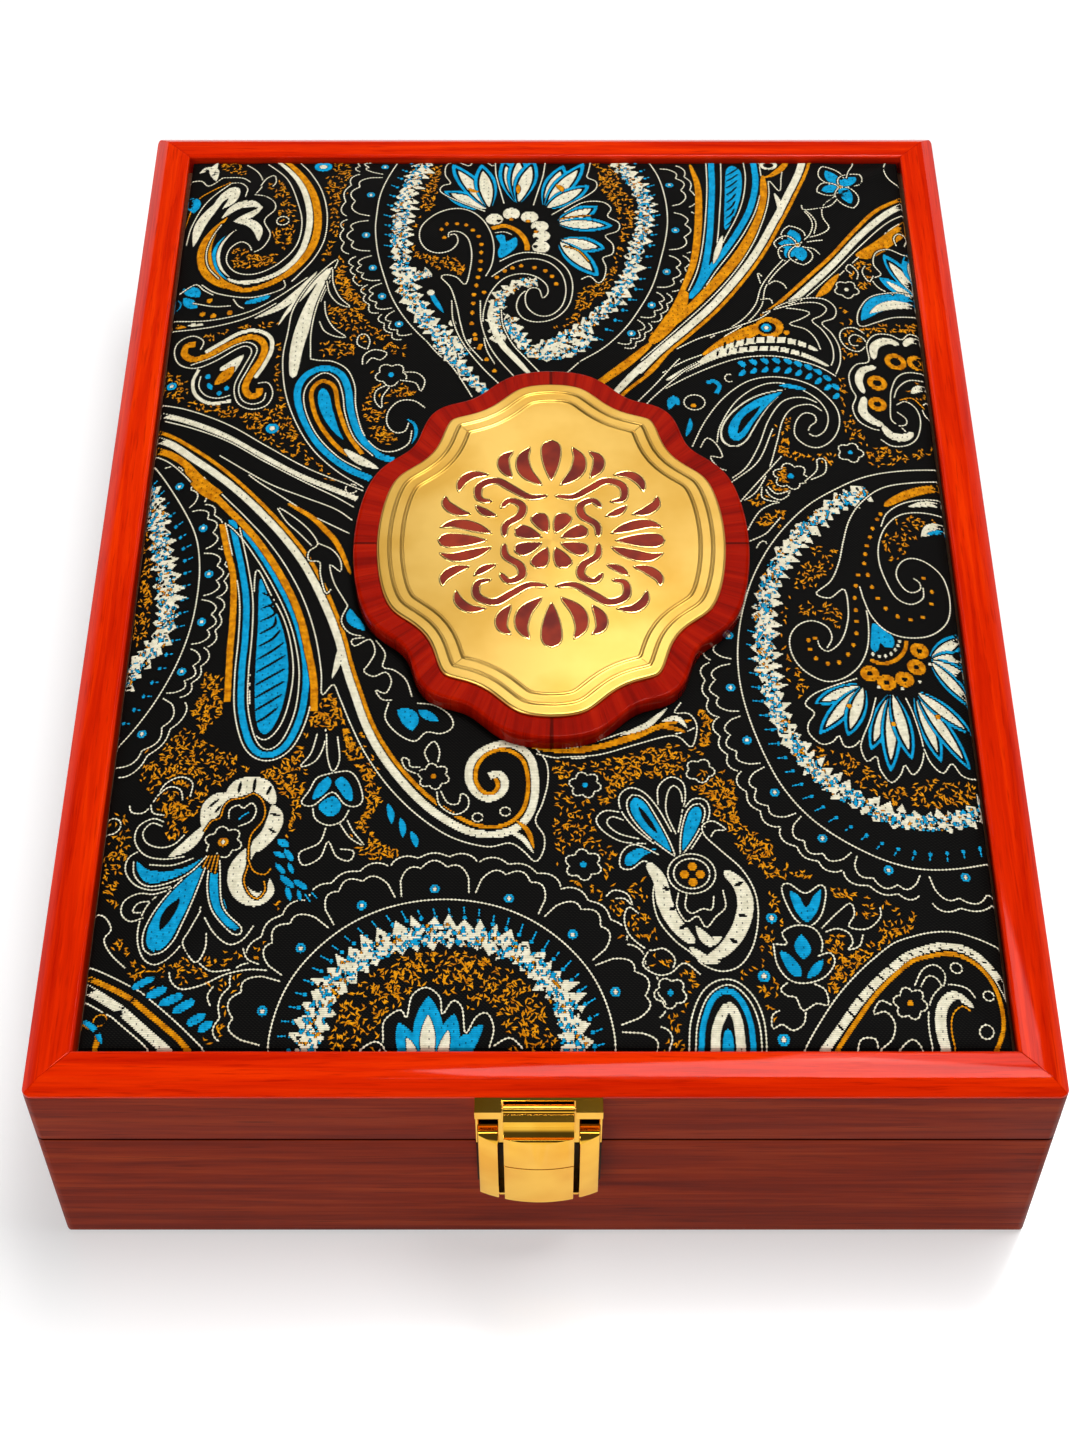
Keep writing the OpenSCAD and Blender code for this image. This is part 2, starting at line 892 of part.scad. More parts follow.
module latch_lid_plate() {
  low = base_h + latch_seam;
  color(gold)
    at_latch() difference() {
      union() {
        front_prism(latch_w) translate([0, low]) square([latch_t, high_z - low]);
        for (side = [-1, 1]) {
          translate([side * (latch_w / 2 - ear_w / 2), 0, 0])
            front_prism(ear_w) translate([0, high_z - ear_h]) square([ear_p, ear_h]);
        }
      }
      translate([0, front_y - latch_pin_p, pin_z]) barrel(latch_pin_r + pin_fit, latch_w + 1);
      lid_screw_set(screw_fit);
    }
}

module latch_lid_screws() {
  color(brass) at_latch() lid_screw_set(0);
}

module latch_pin() {
  color(brass)
    at_latch() translate([0, front_y - latch_pin_p, pin_z]) barrel(latch_pin_r, latch_w - 0.2);
}

module latch_hasp() {
  color(gold)
    at_latch() difference() {
      intersection() {
        front_prism(2 * hasp_hw) {
          difference() {
            polygon([
              [back_p, hasp_z],
              [bow_p + 1, hasp_z],
              [bow_p + 1, lip_z],
              [lip_p, lip_z],
              [lip_p, pin_z],
              [latch_pin_p, pin_z],
              [back_p, pin_z - 1]
            ]);
            intersection() {
              translate(scoop_o) circle(r = scoop_r, $fn = 96);
              translate([0, hasp_z]) square([lip_p, latch_high]);
            }
            translate([bow_p - lip_r, lip_z - lip_r])
              difference() {
                square([e, e]);
                circle(r = lip_r);
              }
          }
          translate([latch_pin_p, pin_z]) circle(r = hasp_knuckle_r);
        }
        bow();
      }
      translate([0, front_y - latch_pin_p, pin_z]) barrel(latch_pin_r + pin_fit, latch_w);
      front_prism(2 * (spring_hw + spring_fit)) {
        translate([0, hasp_z - 1]) square([spring_f + spring_fit, spring_top + 0.8 - hasp_z + 1]);
        translate([0, hook_z - 0.5])
          square([spring_f + hook_p + spring_fit, spring_top + 0.8 - hook_z + 0.5]);
      }
    }
}

base_front_wall();
base_back_wall();
base_left_wall();
base_right_wall();
base_bottom_panel();
liner_front();
liner_back();
liner_left();
liner_right();
floor_pad();
hinge_base_leaf_left();
hinge_base_leaf_right();
hinge_pins();
hinge_base_screws();
latch_base_plate();
latch_catch_block();
latch_posts();
latch_spring();
latch_base_screws();
lid_front_wall();
lid_back_wall();
lid_left_wall();
lid_right_wall();
frame_front();
frame_back();
frame_left();
frame_right();
lid_panel();
foam_pad();
brocade_cover();
lid_lining();
medallion_plaque();
medallion_plate();
medallion_screws();
hinge_lid_leaf_left();
hinge_lid_leaf_right();
hinge_lid_screws();
latch_lid_plate();
latch_lid_screws();
latch_pin();
latch_hasp();
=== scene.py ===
import bisect
import math
import random

import bmesh
import bpy
import numpy
from mathutils import Matrix, Vector, noise
from mathutils.bvhtree import BVHTree


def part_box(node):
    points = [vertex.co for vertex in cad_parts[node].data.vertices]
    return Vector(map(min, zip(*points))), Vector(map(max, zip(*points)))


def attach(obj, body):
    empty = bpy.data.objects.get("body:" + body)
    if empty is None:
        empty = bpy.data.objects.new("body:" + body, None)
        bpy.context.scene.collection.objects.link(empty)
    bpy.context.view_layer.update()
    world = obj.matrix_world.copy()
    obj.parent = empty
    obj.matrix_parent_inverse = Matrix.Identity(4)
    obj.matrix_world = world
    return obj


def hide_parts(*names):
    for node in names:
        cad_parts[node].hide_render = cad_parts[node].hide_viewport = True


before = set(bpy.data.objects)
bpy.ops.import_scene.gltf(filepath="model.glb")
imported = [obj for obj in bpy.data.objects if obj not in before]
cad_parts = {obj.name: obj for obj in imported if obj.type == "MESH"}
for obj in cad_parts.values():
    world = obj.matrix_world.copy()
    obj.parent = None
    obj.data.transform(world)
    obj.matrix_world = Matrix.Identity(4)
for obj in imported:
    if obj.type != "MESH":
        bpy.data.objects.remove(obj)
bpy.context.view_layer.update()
MM = 0.001

# Base and lid walls: eight mitred boards of red-brown stained wood under a clear lacquer.
# The grain runs along each board, and the lacquer leaves a smooth film over the open pores.
WALL_STAIN = {"dark": "#661603", "middle": "#842406", "pale": "#9A3610", "pore": "#3C0B02"}
WALL_STREAK = (90 * MM, 3.2 * MM)
WALL_PORE = (14 * MM, 0.45 * MM)
WALL_GLOSS = (0.4, 0.05, 0.0)
WALL_BUMP = 0.3
PORE_DEPTH = 0.05 * MM
WALL_EDGE = 0.35 * MM
WALL_SHARP = math.radians(30)
# The seam values set a band of painted shade along the joint between the base and lid walls.
SEAM_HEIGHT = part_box("base_front_wall")[1].z
SEAM_CORE = 0.3 * MM
SEAM_HALF = 0.45 * MM
SEAM_SHADE = "#140402"
EASED_WELD = 0.002 * MM
EASED_FLAT = math.radians(1)
EASED_CREASE = math.radians(12)


def linear(colour):
    """An sRGB hex colour as the linear values of a colour socket."""
    parts = [int(colour[i:i + 2], 16) / 255 for i in (1, 3, 5)]
    return [c / 12.92 if c <= 0.04045 else ((c + 0.055) / 1.055) ** 2.4 for c in parts] + [1.0]


def add(tree, kind, sockets=None, stops=None, **settings):
    """One node with its settings, its socket values or links, and the stops of a colour ramp."""
    made = tree.nodes.new(kind)
    for name, value in settings.items():
        setattr(made, name, value)
    for name, value in (sockets or {}).items():
        if isinstance(value, bpy.types.NodeSocket):
            tree.links.new(value, made.inputs[name])
        else:
            made.inputs[name].default_value = value
    if stops:
        elements = made.color_ramp.elements
        while len(elements) < len(stops):
            elements.new(0.5)
        for element, (place, colour) in zip(elements, stops):
            element.position = place
            element.color = linear(colour)
    return made


def surface(name, **sockets):
    """A new material with constant values on its Principled shader."""
    made = bpy.data.materials.new(name)
    made.use_nodes = True
    tree = made.node_tree
    shader = tree.nodes["Principled BSDF"]
    for socket, value in sockets.items():
        shader.inputs[socket.replace("_", " ")].default_value = value
    return made, tree, shader


def raised(tree, shader, value, strength, depth):
    """Gives a finish the fine relief of a value."""
    relief = add(tree, "ShaderNodeBump", {"Height": value, "Strength": strength, "Distance": depth})
    tree.links.new(relief.outputs[0], shader.inputs["Normal"])


def lacquered_wood(name, along, stain, streak, pore, gloss, bump, seam=None):
    """Stained wood under lacquer, with long soft streaks, short dark pores and perhaps painted shade along a
    seam.
    """
    roughness, body, coat = gloss
    made, tree, shader = surface(
        name, Roughness=roughness, Specular_IOR_Level=body, Specular_Tint=linear(stain["pale"]),
        Coat_Weight=coat, Coat_Roughness=0.05, Coat_IOR=1.45)
    coords = add(tree, "ShaderNodeTexCoord")
    place = coords.outputs["Object"]
    long_way = [1 / streak[0] if axis == along else 1 / streak[1] for axis in "xyz"]
    pore_way = [1 / pore[0] if axis == along else 1 / pore[1] for axis in "xyz"]
    streaks = add(tree, "ShaderNodeMapping", {"Vector": place, "Scale": long_way})
    soft = add(tree, "ShaderNodeTexNoise", {
        "Vector": streaks.outputs[0], "Scale": 1.0, "Detail": 5.0, "Roughness": 0.62, "Distortion": 0.4})
    tone = add(tree, "ShaderNodeValToRGB", {"Fac": soft.outputs[0]}, stops=[
        (0.32, stain["dark"]), (0.5, stain["middle"]), (0.68, stain["pale"])])
    pores = add(tree, "ShaderNodeMapping", {"Vector": place, "Scale": pore_way})
    flecks = add(tree, "ShaderNodeTexNoise", {
        "Vector": pores.outputs[0], "Scale": 1.0, "Detail": 2.0, "Roughness": 0.5})
    share = add(tree, "ShaderNodeMapRange", {
        "Value": flecks.outputs[0], "From Min": 0.56, "From Max": 0.72, "To Min": 0.0, "To Max": 0.55})
    mix = add(tree, "ShaderNodeMix", {
        0: share.outputs[0], 6: tone.outputs[0], 7: linear(stain["pore"])}, data_type="RGBA")
    # Painted shade: a near-black band on the upright faces along the seam between base and lid, standing in for
    # the shadow in the joint.
    if seam is not None:
        height = add(tree, "ShaderNodeSeparateXYZ", {0: place}).outputs["Z"]
        above = add(tree, "ShaderNodeMath", {0: height, 1: seam}, operation="SUBTRACT")
        away = add(tree, "ShaderNodeMath", {0: above.outputs[0]}, operation="ABSOLUTE")
        near = add(tree, "ShaderNodeMapRange", {
            "Value": away.outputs[0], "From Min": SEAM_CORE, "From Max": SEAM_HALF,
            "To Min": 0.9, "To Max": 0.0})
        facing = add(tree, "ShaderNodeSeparateXYZ", {0: coords.outputs["Normal"]}).outputs["Z"]
        level = add(tree, "ShaderNodeMath", {0: facing}, operation="ABSOLUTE")
        upright = add(tree, "ShaderNodeMapRange", {
            "Value": level.outputs[0], "From Min": 0.8, "From Max": 0.97, "To Min": 1.0, "To Max": 0.0})
        seam_shade = add(tree, "ShaderNodeMath", {0: near.outputs[0], 1: upright.outputs[0]}, operation="MULTIPLY")
        mix = add(tree, "ShaderNodeMix", {
            0: seam_shade.outputs[0], 6: mix.outputs[2], 7: linear(SEAM_SHADE)}, data_type="RGBA")
    tree.links.new(mix.outputs[2], shader.inputs["Base Color"])
    raised(tree, shader, flecks.outputs[0], bump, PORE_DEPTH)
    return made


def new_piece(name, bm, material, body, smooth=True):
    """Turns a bmesh into a piece that rides on a body and takes its finish from a slot."""
    mesh = bpy.data.meshes.new(name)
    bm.to_mesh(mesh)
    bm.free()
    mesh.materials.append(material)
    mesh.polygons.foreach_set("use_smooth", [smooth] * len(mesh.polygons))
    piece = bpy.data.objects.new(name, mesh)
    bpy.context.scene.collection.objects.link(piece)
    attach(piece, body)
    return piece


def eased(node, body, material, edge, sharp):
    """A piece in its CAD node's own form, its sharp edges rounded as sanding or polish leaves them."""
    bm = bmesh.new()
    bm.from_mesh(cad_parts[node].data)
    bmesh.ops.remove_doubles(bm, verts=bm.verts, dist=EASED_WELD)
    bmesh.ops.dissolve_limit(bm, angle_limit=EASED_FLAT, verts=bm.verts, edges=bm.edges)
    corners = [part for part in bm.edges if part.is_manifold and part.calc_face_angle(0.0) > sharp]
    bmesh.ops.bevel(
        bm, geom=corners, offset=edge, segments=3, affect="EDGES", profile=0.5, material=-1,
        clamp_overlap=True)
    for part in bm.edges:
        part.smooth = part.is_manifold and part.calc_face_angle(0.0) < EASED_CREASE
    piece = new_piece("eased_" + node, bm, material, body)
    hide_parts(node)
    return piece


for along, sides in (("x", ("front", "back")), ("y", ("left", "right"))):
    wall = lacquered_wood(
        "stained_wood_" + along, along, WALL_STAIN, WALL_STREAK, WALL_PORE, WALL_GLOSS, WALL_BUMP,
        SEAM_HEIGHT)
    for body in ("base", "lid"):
        for side in sides:
            eased("%s_%s_wall" % (body, side), body, wall, WALL_EDGE, WALL_SHARP)

# Boards: the bottom, let into the rebate of the walls, and the panel that carries the pad.
# Both are thin hardboard with short pressed fibres and a dull face.
BOARD_PALE = "#8A6A48"
BOARD_DARK = "#6B4E33"
BOARD_FIBRE = 1.2 * MM
BOARD_DEPTH = 0.1 * MM


def tinted(tree, shader, value, *stops):
    """Colours a finish by a ramp over a value."""
    tone = add(tree, "ShaderNodeValToRGB", {"Fac": value}, stops=stops)
    tree.links.new(tone.outputs[0], shader.inputs["Base Color"])


def mottled(tree, shader, place, size, detail, *stops, **more):
    """Colours a finish in soft patches of a size, and returns their value."""
    patches = add(tree, "ShaderNodeTexNoise", {"Vector": place, "Scale": 1 / size, "Detail": detail, **more})
    tinted(tree, shader, patches.outputs[0], *stops)
    return patches.outputs[0]


def paint(material, *nodes):
    """Gives CAD nodes their finish."""
    for name in nodes:
        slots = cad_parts[name].data.materials
        slots.clear()
        slots.append(material)


board, tree, shader = surface("hardboard", Roughness=0.8)
place = add(tree, "ShaderNodeTexCoord").outputs["Object"]
fibres = mottled(tree, shader, place, BOARD_FIBRE, 6.0, (0.35, BOARD_DARK), (0.65, BOARD_PALE), Roughness=0.7)
raised(tree, shader, fibres, 0.4, BOARD_DEPTH)
paint(board, "base_bottom_panel", "lid_panel")

# Velvet lining: card boards round the well, a thin pad on its floor and a board inside the lid.
# Each is wrapped in wine-red velvet, so its edges are soft and the pile catches the light.
VELVET_DEEP = "#3A0710"
VELVET_LIT = "#5E1020"
VELVET_SHEEN = "#C04058"
VELVET_STROKE = 22 * MM
VELVET_PILE = 0.35 * MM
VELVET_DEPTH = 0.15 * MM
VELVET_EDGE = 0.6 * MM
FLOOR_EDGE = 0.9 * MM

velvet, tree, shader = surface(
    "velvet", Roughness=0.95, Sheen_Weight=0.8, Sheen_Roughness=0.35, Sheen_Tint=linear(VELVET_SHEEN))
place = add(tree, "ShaderNodeTexCoord").outputs["Object"]
mottled(tree, shader, place, VELVET_STROKE, 3.0, (0.35, VELVET_DEEP), (0.68, VELVET_LIT))
pile = add(tree, "ShaderNodeTexNoise", {"Vector": place, "Scale": 1 / VELVET_PILE, "Detail": 2.0})
raised(tree, shader, pile.outputs[0], 0.5, VELVET_DEPTH)


def velvet_board(node, body, edge):
    """A wrapped board in its CAD node's own box, with soft edges."""
    low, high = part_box(node)
    bm = bmesh.new()
    bmesh.ops.create_cube(bm, size=1.0)
    bmesh.ops.scale(bm, vec=high - low, verts=bm.verts)
    bmesh.ops.translate(bm, vec=(low + high) / 2, verts=bm.verts)
    bmesh.ops.bevel(bm, geom=bm.edges[:], offset=edge, segments=3, affect="EDGES", profile=0.5, material=-1)
    piece = new_piece("velvet_" + node, bm, velvet, body)
    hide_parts(node)
    return piece


for node in ("liner_front", "liner_back", "liner_left", "liner_right"):
    velvet_board(node, "base", VELVET_EDGE)
velvet_board("floor_pad", "base", FLOOR_EDGE)
velvet_board("lid_lining", "lid", VELVET_EDGE)

# Hinges: two brass butt hinges let into the back rims, with their pins and countersunk screws.
# The brass is rolled and lightly brushed, then lacquered.
BRASS = "#C79A45"
BRASS_WORN = "#A67A30"
STEEL = "#B9BBBE"
STEEL_WORN = "#8E9094"
ROLLED = {"grit": 0.4 * MM, "depth": 0.01 * MM}


def worked_metal(name, bright, worn, roughness, grit, depth, patch):
    """Metal with fine grit in its finish and slow changes of tone, as handling leaves them."""
    made, tree, shader = surface(name, Metallic=1.0)
    place = add(tree, "ShaderNodeTexCoord").outputs["Object"]
    slow = mottled(tree, shader, place, patch, 2.0, (0.35, worn), (0.65, bright))
    dull = add(tree, "ShaderNodeMapRange", {
        "Value": slow, "To Min": roughness * 1.25, "To Max": roughness * 0.75})
    tree.links.new(dull.outputs[0], shader.inputs["Roughness"])
    fine = add(tree, "ShaderNodeTexNoise", {"Vector": place, "Scale": 1 / grit, "Detail": 2.0})
    raised(tree, shader, fine.outputs[0], 0.2, depth)
    return made


brass = worked_metal("brushed_brass", BRASS, BRASS_WORN, roughness=0.28, patch=6 * MM, **ROLLED)
steel = worked_metal("steel", STEEL, STEEL_WORN, roughness=0.3, patch=4 * MM, **ROLLED)
paint(brass, *["hinge_%s_leaf_%s" % (part, side) for part in ("base", "lid") for side in ("left", "right")])
paint(brass, "hinge_pins", "hinge_base_screws", "hinge_lid_screws")

# Latch: a drop hasp on the lid snaps over a sprung catch block between two guide posts, and a small
# web closes each groove beside the block at its foot. All of it is die-cast, gilt and polished, with
# a steel spring and screws. The plate behind is coloured near-black: painted shade in the gaps.
GILT = "#F6BE44"
GILT_WORN = "#EAA82C"
# The two near-black tones below are painted shade for the plate behind the latch.
GILT_SHADE = "#2E1C06"
GILT_SHADE_DEEP = "#1A0F03"
CAST = {"grit": 0.5 * MM, "depth": 0.002 * MM, "patch": 12 * MM}
LATCH_EDGE = 0.3 * MM
LATCH_SHARP = math.radians(25)
LATCH_BODIES = {
    "latch_catch_block": "base", "latch_posts": "base", "latch_lid_plate": "lid", "latch_hasp": "hasp"}
GROOVE_WEB = (1.1 * MM, 3.6 * MM, 0.8 * MM)
gilt = worked_metal("gilt_casting", GILT, GILT_WORN, roughness=0.06, **CAST)
shade_dark_gilt = worked_metal("gilt_painted_shade", GILT_SHADE, GILT_SHADE_DEEP, roughness=0.55, **CAST)
# Painted shade: the plate behind the posts and block is near-black, so the gaps beside them read as shadow.
paint(shade_dark_gilt, "latch_base_plate")
for node, body in LATCH_BODIES.items():
    eased(node, body, gilt, LATCH_EDGE, LATCH_SHARP)
block_low, block_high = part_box("latch_catch_block")
web = bmesh.new()
for x in (block_low.x - GROOVE_WEB[0] / 2, block_high.x + GROOVE_WEB[0] / 2):
    middle = Vector((x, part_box("latch_base_plate")[0].y - GROOVE_WEB[1] / 2, block_low.z + GROOVE_WEB[2] / 2))
    bmesh.ops.create_cube(web, size=1.0, matrix=Matrix.LocRotScale(middle, None, Vector(GROOVE_WEB)))
new_piece("latch_groove_webs", web, gilt, "base", smooth=False)
paint(brass, "latch_lid_screws", "latch_pin")
paint(steel, "latch_spring", "latch_base_screws", "medallion_screws")

# Frame: four bevelled rails, mitred at the corners, with a tongue inside the lid walls.
# Bright orange-red stain under a thick polished lacquer, the grain just showing.
FRAME_STAIN = {"dark": "#B81700", "middle": "#D22500", "pale": "#E43300", "pore": "#A01000"}
FRAME_STREAK = (70 * MM, 2.4 * MM)
FRAME_PORE = (10 * MM, 0.5 * MM)
FRAME_GLOSS = (0.08, 0.15, 0.16)
FRAME_BUMP = 0.1
FRAME_EDGE = 0.5 * MM
FRAME_SHARP = math.radians(20)
for along, sides in (("x", ("front", "back")), ("y", ("left", "right"))):
    rail = lacquered_wood(
        "lacquer_" + along, along, FRAME_STAIN, FRAME_STREAK, FRAME_PORE, FRAME_GLOSS, FRAME_BUMP)
    for side in sides:
        eased("frame_" + side, "lid", rail, FRAME_EDGE, FRAME_SHARP)

# Foam: a slab cut to a crown, glued to the lid panel. It is pale open-cell polyurethane,
# hidden by the cloth, and it gives the panel its soft rise from the rails.
PAD_LOW, PAD_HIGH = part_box("brocade_cover")
FOAM_LOW, FOAM_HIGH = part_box("foam_pad")
CROWN_RUN = 24 * MM
CROWN_RADIUS = 74 * MM
FOAM_CELL = 6 * MM
FOAM_MARGIN = 1.2 * MM
FOAM_SINK = 0.8 * MM
FOAM_TURN = ((0.2 * MM, 1.0 * MM), (0.2 * MM, 10 * MM))
FOAM_PORE = 0.9 * MM
FOAM_DEPTH = 0.3 * MM
FOAM_PALE = "#E8DCB0"
FOAM_DEEP = "#C9B77F"


def pad_height(x, y, low, high):
    """Height of the crowned pad over a point: flat in the middle, with a long fall to each edge."""
    falls = []
    for distance, half in ((abs(x), high.x), (abs(y), high.y)):
        run = max(0.0, distance - half + CROWN_RUN)
        falls.append(high.z - CROWN_RADIUS + math.sqrt(CROWN_RADIUS ** 2 - run ** 2))
    return max(low.z, min(falls))


def crowned_sheet(low, high, margin, cell):
    """A grid over the pad, drawn in from its edges by a margin, at the pad's own height."""
    half = (high.x - margin, high.y - margin)
    bm = bmesh.new()
    bmesh.ops.create_grid(
        bm, x_segments=round(2 * half[0] / cell), y_segments=round(2 * half[1] / cell), size=1.0)
    bmesh.ops.scale(bm, vec=(half[0], half[1], 1.0), verts=bm.verts)
    for vert in bm.verts:
        vert.co.z = pad_height(vert.co.x, vert.co.y, low, high)
    return bm


def turn_down(bm, low, high, margin, steps):
    """Rolls the sheet's edge out and down in steps, then closes it underneath."""
    reach = margin
    for out, drop in steps:
        rim = [edge for edge in bm.edges if edge.is_boundary]
        skirt = bmesh.ops.extrude_edge_only(bm, edges=rim)["geom"]
        verts = [part for part in skirt if isinstance(part, bmesh.types.BMVert)]
        stretch = ((high.x - out) / (high.x - reach), (high.y - out) / (high.y - reach), 1.0)
        bmesh.ops.scale(bm, vec=stretch, verts=verts)
        for vert in verts:
            vert.co.z = max(low.z, vert.co.z - drop)
        reach = out
    bmesh.ops.holes_fill(bm, edges=[edge for edge in bm.edges if edge.is_boundary])
    bmesh.ops.recalc_face_normals(bm, faces=bm.faces)


foam, tree, shader = surface("open_cell_foam", Roughness=0.95)
place = add(tree, "ShaderNodeTexCoord").outputs["Object"]
cells = add(tree, "ShaderNodeTexVoronoi", {"Vector": place, "Scale": 1 / FOAM_PORE}).outputs[0]
tinted(tree, shader, cells, (0.1, FOAM_DEEP), (0.5, FOAM_PALE))
raised(tree, shader, cells, 0.6, FOAM_DEPTH)
bm = crowned_sheet(FOAM_LOW, FOAM_HIGH, FOAM_MARGIN, FOAM_CELL)
for vert in bm.verts:
    vert.co.z -= FOAM_SINK
turn_down(bm, FOAM_LOW, FOAM_HIGH, FOAM_MARGIN, FOAM_TURN)
piece = new_piece("foam_slab", bm, foam, "lid")
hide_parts("foam_pad")

# Brocade ground: black satin drawn over the foam and tucked down beside the rails.
# The sheet is held there and under the plaque, and a short cloth simulation with air below it
# swells it between those lines; the pull of the tucks leaves shallow puckers along the rails.
CLOTH_MARGIN = 1.3 * MM
CLOTH_CELL = 2 * MM
CLOTH_SINK = 0.5 * MM
CLOTH_SWELL = 0.55 * MM
CLOTH_AIR = 3.0
CLOTH_STEPS = 20
LOBE_CENTRE = (1.5, -7.6)
LOBE_HALF = (48.0, 59.2)
PLAQUE_PRESS = 0.92
PUCKER_DEPTH = 0.3 * MM
PUCKER_PITCH = 9 * MM
PUCKER_REACH = 8 * MM
PUCKER_LENGTH = 32 * MM
PUCKER_LAYER = 3.0
PUCKER_SIDE = 7.0
TUCK = ((0.9 * MM, 0.35 * MM), (0.5 * MM, 0.9 * MM), (0.35 * MM, 1.4 * MM), (0.35 * MM, 10 * MM))
GROUND_BLACK = "#030303"
GROUND_GREY = "#1A1916"
WEFT_PITCH = 0.42 * MM
WEAVE_SCALE = 2 * math.pi / (20 * WEFT_PITCH)
WEAVE_DEPTH = 0.1 * MM

bm = crowned_sheet(PAD_LOW, PAD_HIGH, CLOTH_MARGIN, CLOTH_CELL)
held = [vert.index for vert in bm.verts if vert.is_boundary or math.hypot(*[
    (place - middle * MM) / (half * MM)
    for place, middle, half in zip(vert.co, LOBE_CENTRE, LOBE_HALF)]) < PLAQUE_PRESS]
for vert in bm.verts:
    vert.co.z -= CLOTH_SINK
sheet_mesh = bpy.data.meshes.new("satin_sheet")
bm.to_mesh(sheet_mesh)
sheet = bpy.data.objects.new("satin_sheet", sheet_mesh)
bpy.context.scene.collection.objects.link(sheet)
sheet.vertex_groups.new(name="held").add(held, 1.0, "REPLACE")
air = sheet.modifiers.new("air", "CLOTH")
air.settings.vertex_group_mass = "held"
air.settings.use_pressure = True
air.settings.uniform_pressure_force = CLOTH_AIR
air.settings.effector_weights.gravity = 0.0
air.point_cache.frame_start = 1
air.point_cache.frame_end = CLOTH_STEPS
for step in range(1, CLOTH_STEPS + 1):
    bpy.context.scene.frame_set(step)
swollen = sheet.evaluated_get(bpy.context.evaluated_depsgraph_get()).data
bm.verts.ensure_lookup_table()
for vert, after in zip(bm.verts, swollen.vertices):
    move = after.co - vert.co
    if move.length > CLOTH_SWELL:
        move *= CLOTH_SWELL / move.length
    vert.co += move
bpy.data.objects.remove(sheet)
bpy.context.scene.frame_set(1)
bpy.data.meshes.remove(sheet_mesh)
for vert in bm.verts:
    across = (PAD_HIGH.x - abs(vert.co.x), PAD_HIGH.y - abs(vert.co.y))
    for gap, run in ((across[0], vert.co.y), (across[1], vert.co.x)):
        layer = PUCKER_LAYER + math.copysign(PUCKER_SIDE, vert.co.x)
        fold = noise.noise(Vector((run / PUCKER_PITCH, gap / PUCKER_LENGTH, layer)))
        vert.co.z -= PUCKER_DEPTH * (0.5 + fold) * math.exp(-gap / PUCKER_REACH)
turn_down(bm, PAD_LOW, PAD_HIGH, CLOTH_MARGIN, TUCK)

satin, tree, shader = surface("black_satin_ground", Roughness=0.6, Specular_IOR_Level=0.03)
place = add(tree, "ShaderNodeTexCoord").outputs["Object"]
wefts, warps = [
    add(tree, "ShaderNodeTexWave", {"Vector": place, "Scale": WEAVE_SCALE}, bands_direction=way)
    for way in ("Y", "DIAGONAL")]
weave = add(tree, "ShaderNodeMath", {
    0: wefts.outputs["Fac"], 1: warps.outputs["Fac"]}, operation="MULTIPLY").outputs[0]
tinted(tree, shader, weave, (0.1, GROUND_BLACK), (0.9, GROUND_GREY))
raised(tree, shader, weave, 0.35, WEAVE_DEPTH)
cover = new_piece("brocade_ground", bm, satin, "lid")
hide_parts("brocade_cover")
cloth_face = BVHTree.FromPolygons(
    [vert.co for vert in cover.data.vertices], [face.vertices for face in cover.data.polygons])

# Brocade figure: ivory, blue and gold weft brought to the face of the black ground, row by row.
# Its paisleys, scalloped rings and sprays are drawn here in millimetres on the flat cloth. Broad shapes
# float in the rows of the weave, and fine lines are cords that lie on it and cover what was drawn before.
ROW = WEFT_PITCH / MM
CELL = 0.1
FIGURE_HALF = (99.2, 143.2)
CORD_MOST = 1.05
CORD_BED = 0.84
LEAF_TAPER = {"leaf": 0.75, "band": 0.28, "drop": 0.85}
DROP_HEAD = 0.25
EYE_RADIUS = 1.2
EYE_HEART = 0.45
CLOUD_STEPS = 24
CLOUD_BUMPS = 3
CLOUD_LIFT = 0.3
INNER_SPAN = (0.04, 0.92)
INNER_BUMP = 1.6
OUTER_SINK = 2.6
OUTER_BUMP = 1.1
OUTER_LIFT = 1.2
TOOTH_WIDE = (2.2, 1.8)
TOOTH_LEAN = 1.8
TOOTH_ROOT = (0.1, 0.24)
TOOTH_TIP = {1: 0.62, -1: 0.46}
FLECK_SHARE = 0.72
FLECK_REACH = 0.66
FLECK_WIDE = 0.75
FLECK_YARNS = ("blue", "blue", "blue", "blue", "ground", "gold")
PIN_LEAN = (0.3, 0.9)
PIN_HEAD = 0.55
PICK_SHARE = 1.15
PICK_CURL = 2.6
FLOWER_NOTCH = (0.72, 0.28)
FLOWER_HEART = 0.2
PIPE_GAP = 0.75
YARNS = ("ground", "ivory", "blue", "gold")
scatter = random.Random(7)
figure = numpy.zeros((round(2 * FIGURE_HALF[1] / ROW), round(2 * FIGURE_HALF[0] / CELL)), dtype=numpy.uint8)
bedded = numpy.zeros(figure.shape, dtype=numpy.uint16)
cords = []
picks = []


def drawn(path):
    """The points of a path, which is a list of them or is written as x,y pairs."""
    return [tuple(map(float, spot.split(","))) for spot in path.split()] if isinstance(path, str) else path


def fill(yarn, outline, bed=0):
    """Brings a yarn to the face inside an outline, or beds a cord there, over what was drawn before."""
    heights = [(y + FIGURE_HALF[1]) / ROW - 0.5 for x, y in outline]
    for row in range(max(0, math.ceil(min(heights))), min(len(figure) - 1, math.floor(max(heights))) + 1):
        level = (row + 0.5) * ROW - FIGURE_HALF[1]
        cuts = sorted(
            ax + (level - ay) * (bx - ax) / (by - ay)
            for (ax, ay), (bx, by) in zip(outline, outline[1:] + outline[:1])
            if (ay <= level) != (by <= level))
        for left, right in zip(cuts[::2], cuts[1::2]):
            first, last = [max(0, round((x + FIGURE_HALF[0]) / CELL)) for x in (left, right)]
            figure[row, first:last] = YARNS.index(yarn)
            bedded[row, first:last] = bed


